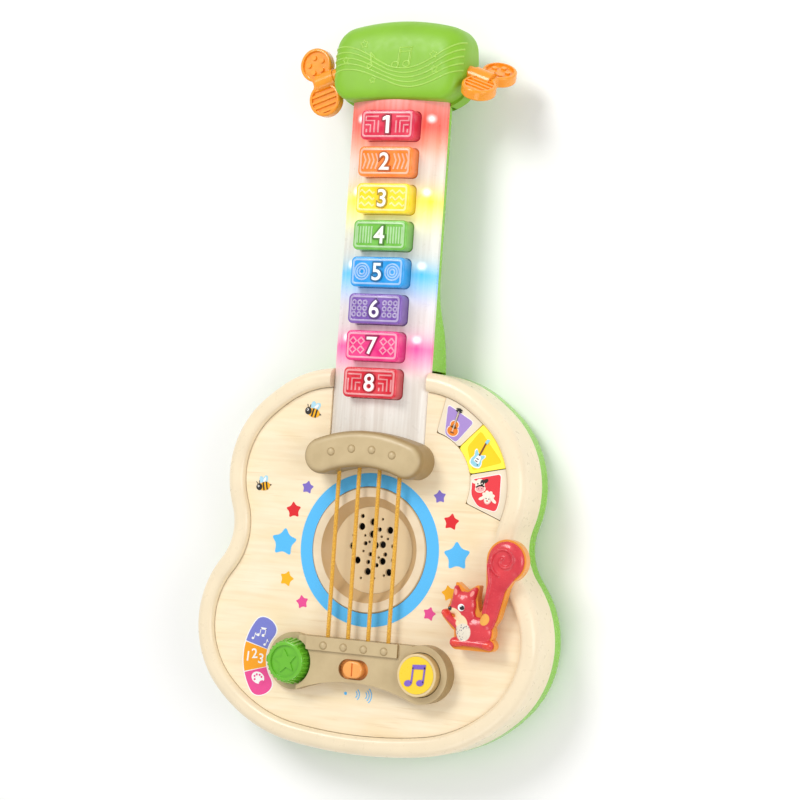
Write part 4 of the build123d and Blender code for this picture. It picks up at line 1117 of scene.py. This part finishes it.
head_mesh = pillow(outline_of("head_front", head_low.z, 180), head_low.z, head_high.z, 26.0, 2.7, 10.0)
head_dome = add_piece("head_dome", head_mesh, head_lime, HOUSING)
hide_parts("head_front")
head_height = surface_of(head_mesh)


def on_head(line, sink=0.1):
    """The points of a flat line, dropped onto the head; points off the head are left out."""
    kept = [(x, y, head_height(x, y)) for x, y in line]
    return [(x, y, z - sink) for x, y, z in kept if z is not None and z > head_low.z + 1.5]


def staff_line(index):
    """One of five lines of music that dip in the middle and rise to the right."""
    line = []
    for i in range(61):
        x = -40.5 + 81 * i / 60
        along = (x + 40.5) / 81
        spread = 0.55 + 0.45 * abs(2 * along - 0.9)
        wave = 6.5 * cos(2 * pi * (along * 0.98 + 0.90)) + 3.5 * along
        line.append((x, 274.5 + wave + (2 - index) * 3.9 * spread))
    return line


relief = [wire([on_head(staff_line(index))], 0.55) for index in range(5)]
relief += [wire([on_head(loop + loop[:1])], 0.4) for x, y, radius in (
    (-20, 289.5, 2.6), (24.5, 283, 2.5), (25.5, 274.5, 2.3), (-31, 280, 2.2), (-13, 268.5, 2.0),
) for loop in [star(x, y, radius, 10, 0.5, 0.12)]]
for loop in note_loops(4.5, 281.5, 1.5, -6) + note_loops(-16.0, 280.5, 1.15, 10, False):
    relief.append(wire([on_head(loop + loop[:1])], 0.55))
# the relief wears the paler green of a painted highlight
add_piece("head_relief", joined(relief), head_relief_highlight_lime, HOUSING)


# ---- squirrel
def melded(balls, voxel, relax=6):
    """Balls (x, y, z, rx, ry, rz, turn) melted together into one smooth skin."""
    work = bmesh.new()
    for x, y, z, rx, ry, rz, turn in balls:
        place = (Matrix.Translation((x * MM, y * MM, z * MM)) @ Matrix.Rotation(radians(turn), 4, "Z")
                 @ Matrix.Diagonal((rx * MM, ry * MM, rz * MM, 1)))
        bmesh.ops.create_icosphere(work, subdivisions=3, radius=1.0, matrix=place)
    return smooth(finished_mesh(finished_bmesh(work, "balls"), (
        ("REMESH", {"mode": "VOXEL", "voxel_size": voxel * MM}),
        ("SMOOTH", {"factor": 0.5, "iterations": relax}),
    )), 180)


def ball_run(points, z, thick, steps=7):
    """Balls along a line of (x, y, radius), close enough to meld into a tapered bar."""
    balls = []
    for (x0, y0, r0), (x1, y1, r1) in zip(points, points[1:]):
        for i in range(steps + 1):
            t = i / steps
            radius = r0 + (r1 - r0) * t
            balls.append((x0 + (x1 - x0) * t, y0 + (y1 - y0) * t, z, radius, radius, thick, 0))
    return balls


CURL = (90.0, 0.5, 11.0)


def squirrel_skin():
    """Body, head, limbs and curled tail, melted into one low relief."""
    level = figure_low + 0.2
    balls = ball_run([(81.0, -34.5, 4.6), (82.4, -30.5, 4.7), (84.4, -22.0, 4.8), (85.6, -14.0, 5.4),
                      (87.2, -7.5, 8.0), (88.6, -2.0, 10.0)], level, 3.2)
    balls.append((*CURL[:2], level, CURL[2], CURL[2], 3.4, 0))
    balls.append((73.5, -40.0, level, 10.8, 8.6, 3.4, 0))
    balls += ball_run([(66.6, -27.5, 6.0), (68.0, -33.0, 6.3), (69.4, -40.0, 7.2)], level, 3.0)
    balls.append((66.2, -25.6, level, 7.7, 7.6, 3.8, 0))
    balls += ball_run([(65.0, -27.0, 4.6), (60.3, -28.2, 2.8)], level, 3.5)
    balls += ball_run([(62.4, -21.0, 3.0), (61.5, -16.2, 1.3)], level, 2.9)
    balls += ball_run([(70.4, -20.8, 3.2), (73.2, -16.6, 1.4)], level, 2.9)
    balls += ball_run([(55.4, -30.6, 2.0), (58.4, -33.6, 1.9), (63.4, -37.0, 2.4)], level + 0.4, 3.2)
    feet = [(62.2, -46.6, 2.9), (67.0, -46.4, 2.2), (77.0, -46.4, 2.2), (83.0, -46.9, 2.9)]
    balls += ball_run(feet, level, 3.2)
    # Spiral ridge of the curled tail and the crest along the stem
    spiral = []
    for i in range(46):
        angle = radians(250 - 11 * i)
        reach = 8.6 - 0.16 * i
        x, y = CURL[0] + reach * cos(angle), CURL[1] + reach * sin(angle)
        spiral.append((x, y, level + 2.9, 0.9, 0.9, 1.7, 0))
    crest = ball_run([(79.6, -29.0, 0.9), (82.0, -12.0, 0.9), (80.6, -2.0, 0.9)], level + 2.9, 1.3, 30)
    return melded(balls + spiral + crest, 0.42, 4)


def inside(s, x, y, centre, long, short, turn=0.0, soft=0.12):
    """Shader mask that is 1 inside an ellipse given in mm."""
    c, n = cos(radians(turn)), sin(radians(turn))
    dx = s.math("SUBTRACT", x, centre[0] * MM)
    dy = s.math("SUBTRACT", y, centre[1] * MM)
    u = s.math("ADD", s.times(dx, c / (long * MM)), s.times(dy, n / (long * MM)))
    v = s.math("ADD", s.times(dx, -n / (short * MM)), s.times(dy, c / (short * MM)))
    reach = s.length(u, v)
    return s.spread(reach, 1 - soft, 1 + soft * 0.2, 1.0, 0.0, smooth=True)


def squirrel_paint():
    """Coral gloss with a cream muzzle and speckled belly, paler ears and an orange hip."""
    s = Shader("squirrel_paint")
    x, y, z = s.axes()
    cloud = s.spread(s.noise(110, 3), 0.3, 0.7)
    base = s.mix(cloud, srgb(206, 44, 60), srgb(228, 66, 74))
    creamy = srgb(252, 222, 178)
    for centre, long, short, turn in (((62.9, -31.0), 4.6, 2.8, -38), ((66.8, -35.4), 4.6, 3.5, -62)):
        base = s.mix(inside(s, x, y, centre, long, short, turn), base, creamy)
    belly = inside(s, x, y, (68.0, -40.6), 5.2, 5.0, 80)
    base = s.mix(belly, base, srgb(236, 226, 206))
    dots = s.node("ShaderNodeTexVoronoi")
    dots.inputs["Scale"].default_value = 780
    s.link(s.place((1, 1, 0)), dots.inputs["Vector"])
    speckle = s.spread(dots.outputs["Distance"], 0.22, 0.30, 1.0, 0.0)
    base = s.mix(s.times(speckle, belly), base, srgb(92, 96, 120))
    base = s.mix(inside(s, x, y, (80.4, -32.6), 3.6, 3.0, 60), base, srgb(244, 176, 76))
    for centre, turn in (((61.9, -18.6), 100), ((72.0, -19.0), 60)):
        base = s.mix(inside(s, x, y, centre, 1.9, 1.0, turn), base, srgb(246, 150, 140))
    for centre in ((56.0, -31.2), (64.0, -47.0), (82.8, -47.2)):
        base = s.mix(inside(s, x, y, centre, 2.6, 2.4), base, srgb(232, 70, 56))
    s.paint(base)
    s.roughness(0.2, 0.3)
    s.set(Coat_Weight=0.35, Coat_Roughness=0.08)
    s.bump(s.noise(900, 2), 0.08, 0.03)
    return s.material


squirrel_mesh = squirrel_skin()
squirrel = add_piece("squirrel_relief", squirrel_mesh, squirrel_paint(), "squirrel_lever")
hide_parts("squirrel_figure")
squirrel_height = surface_of(squirrel_mesh)


def bead(name, x, y, radius, rise, material):
    """Small domed detail seated on the squirrel."""
    z = squirrel_height(x, y)
    skin = melded([(x, y, z, radius, radius, rise, 0)], radius * 0.12, 2)
    add_piece(name, skin, material, "squirrel_lever")


gloss_black = moulded("eye_black", srgb(16, 14, 16), 0.1, coat=0.8)
gloss_white = moulded("eye_white", srgb(252, 252, 250), 0.15, coat=0.6)
bead("squirrel_eye_white", 66.3, -27.0, 2.2, 0.5, gloss_white)
bead("squirrel_eye", 66.8, -27.1, 1.6, 0.75, gloss_black)
bead("squirrel_eye_glint", 66.2, -26.3, 0.5, 1.15, gloss_white)
bead("squirrel_nose", 59.4, -28.0, 1.2, 0.9, gloss_black)
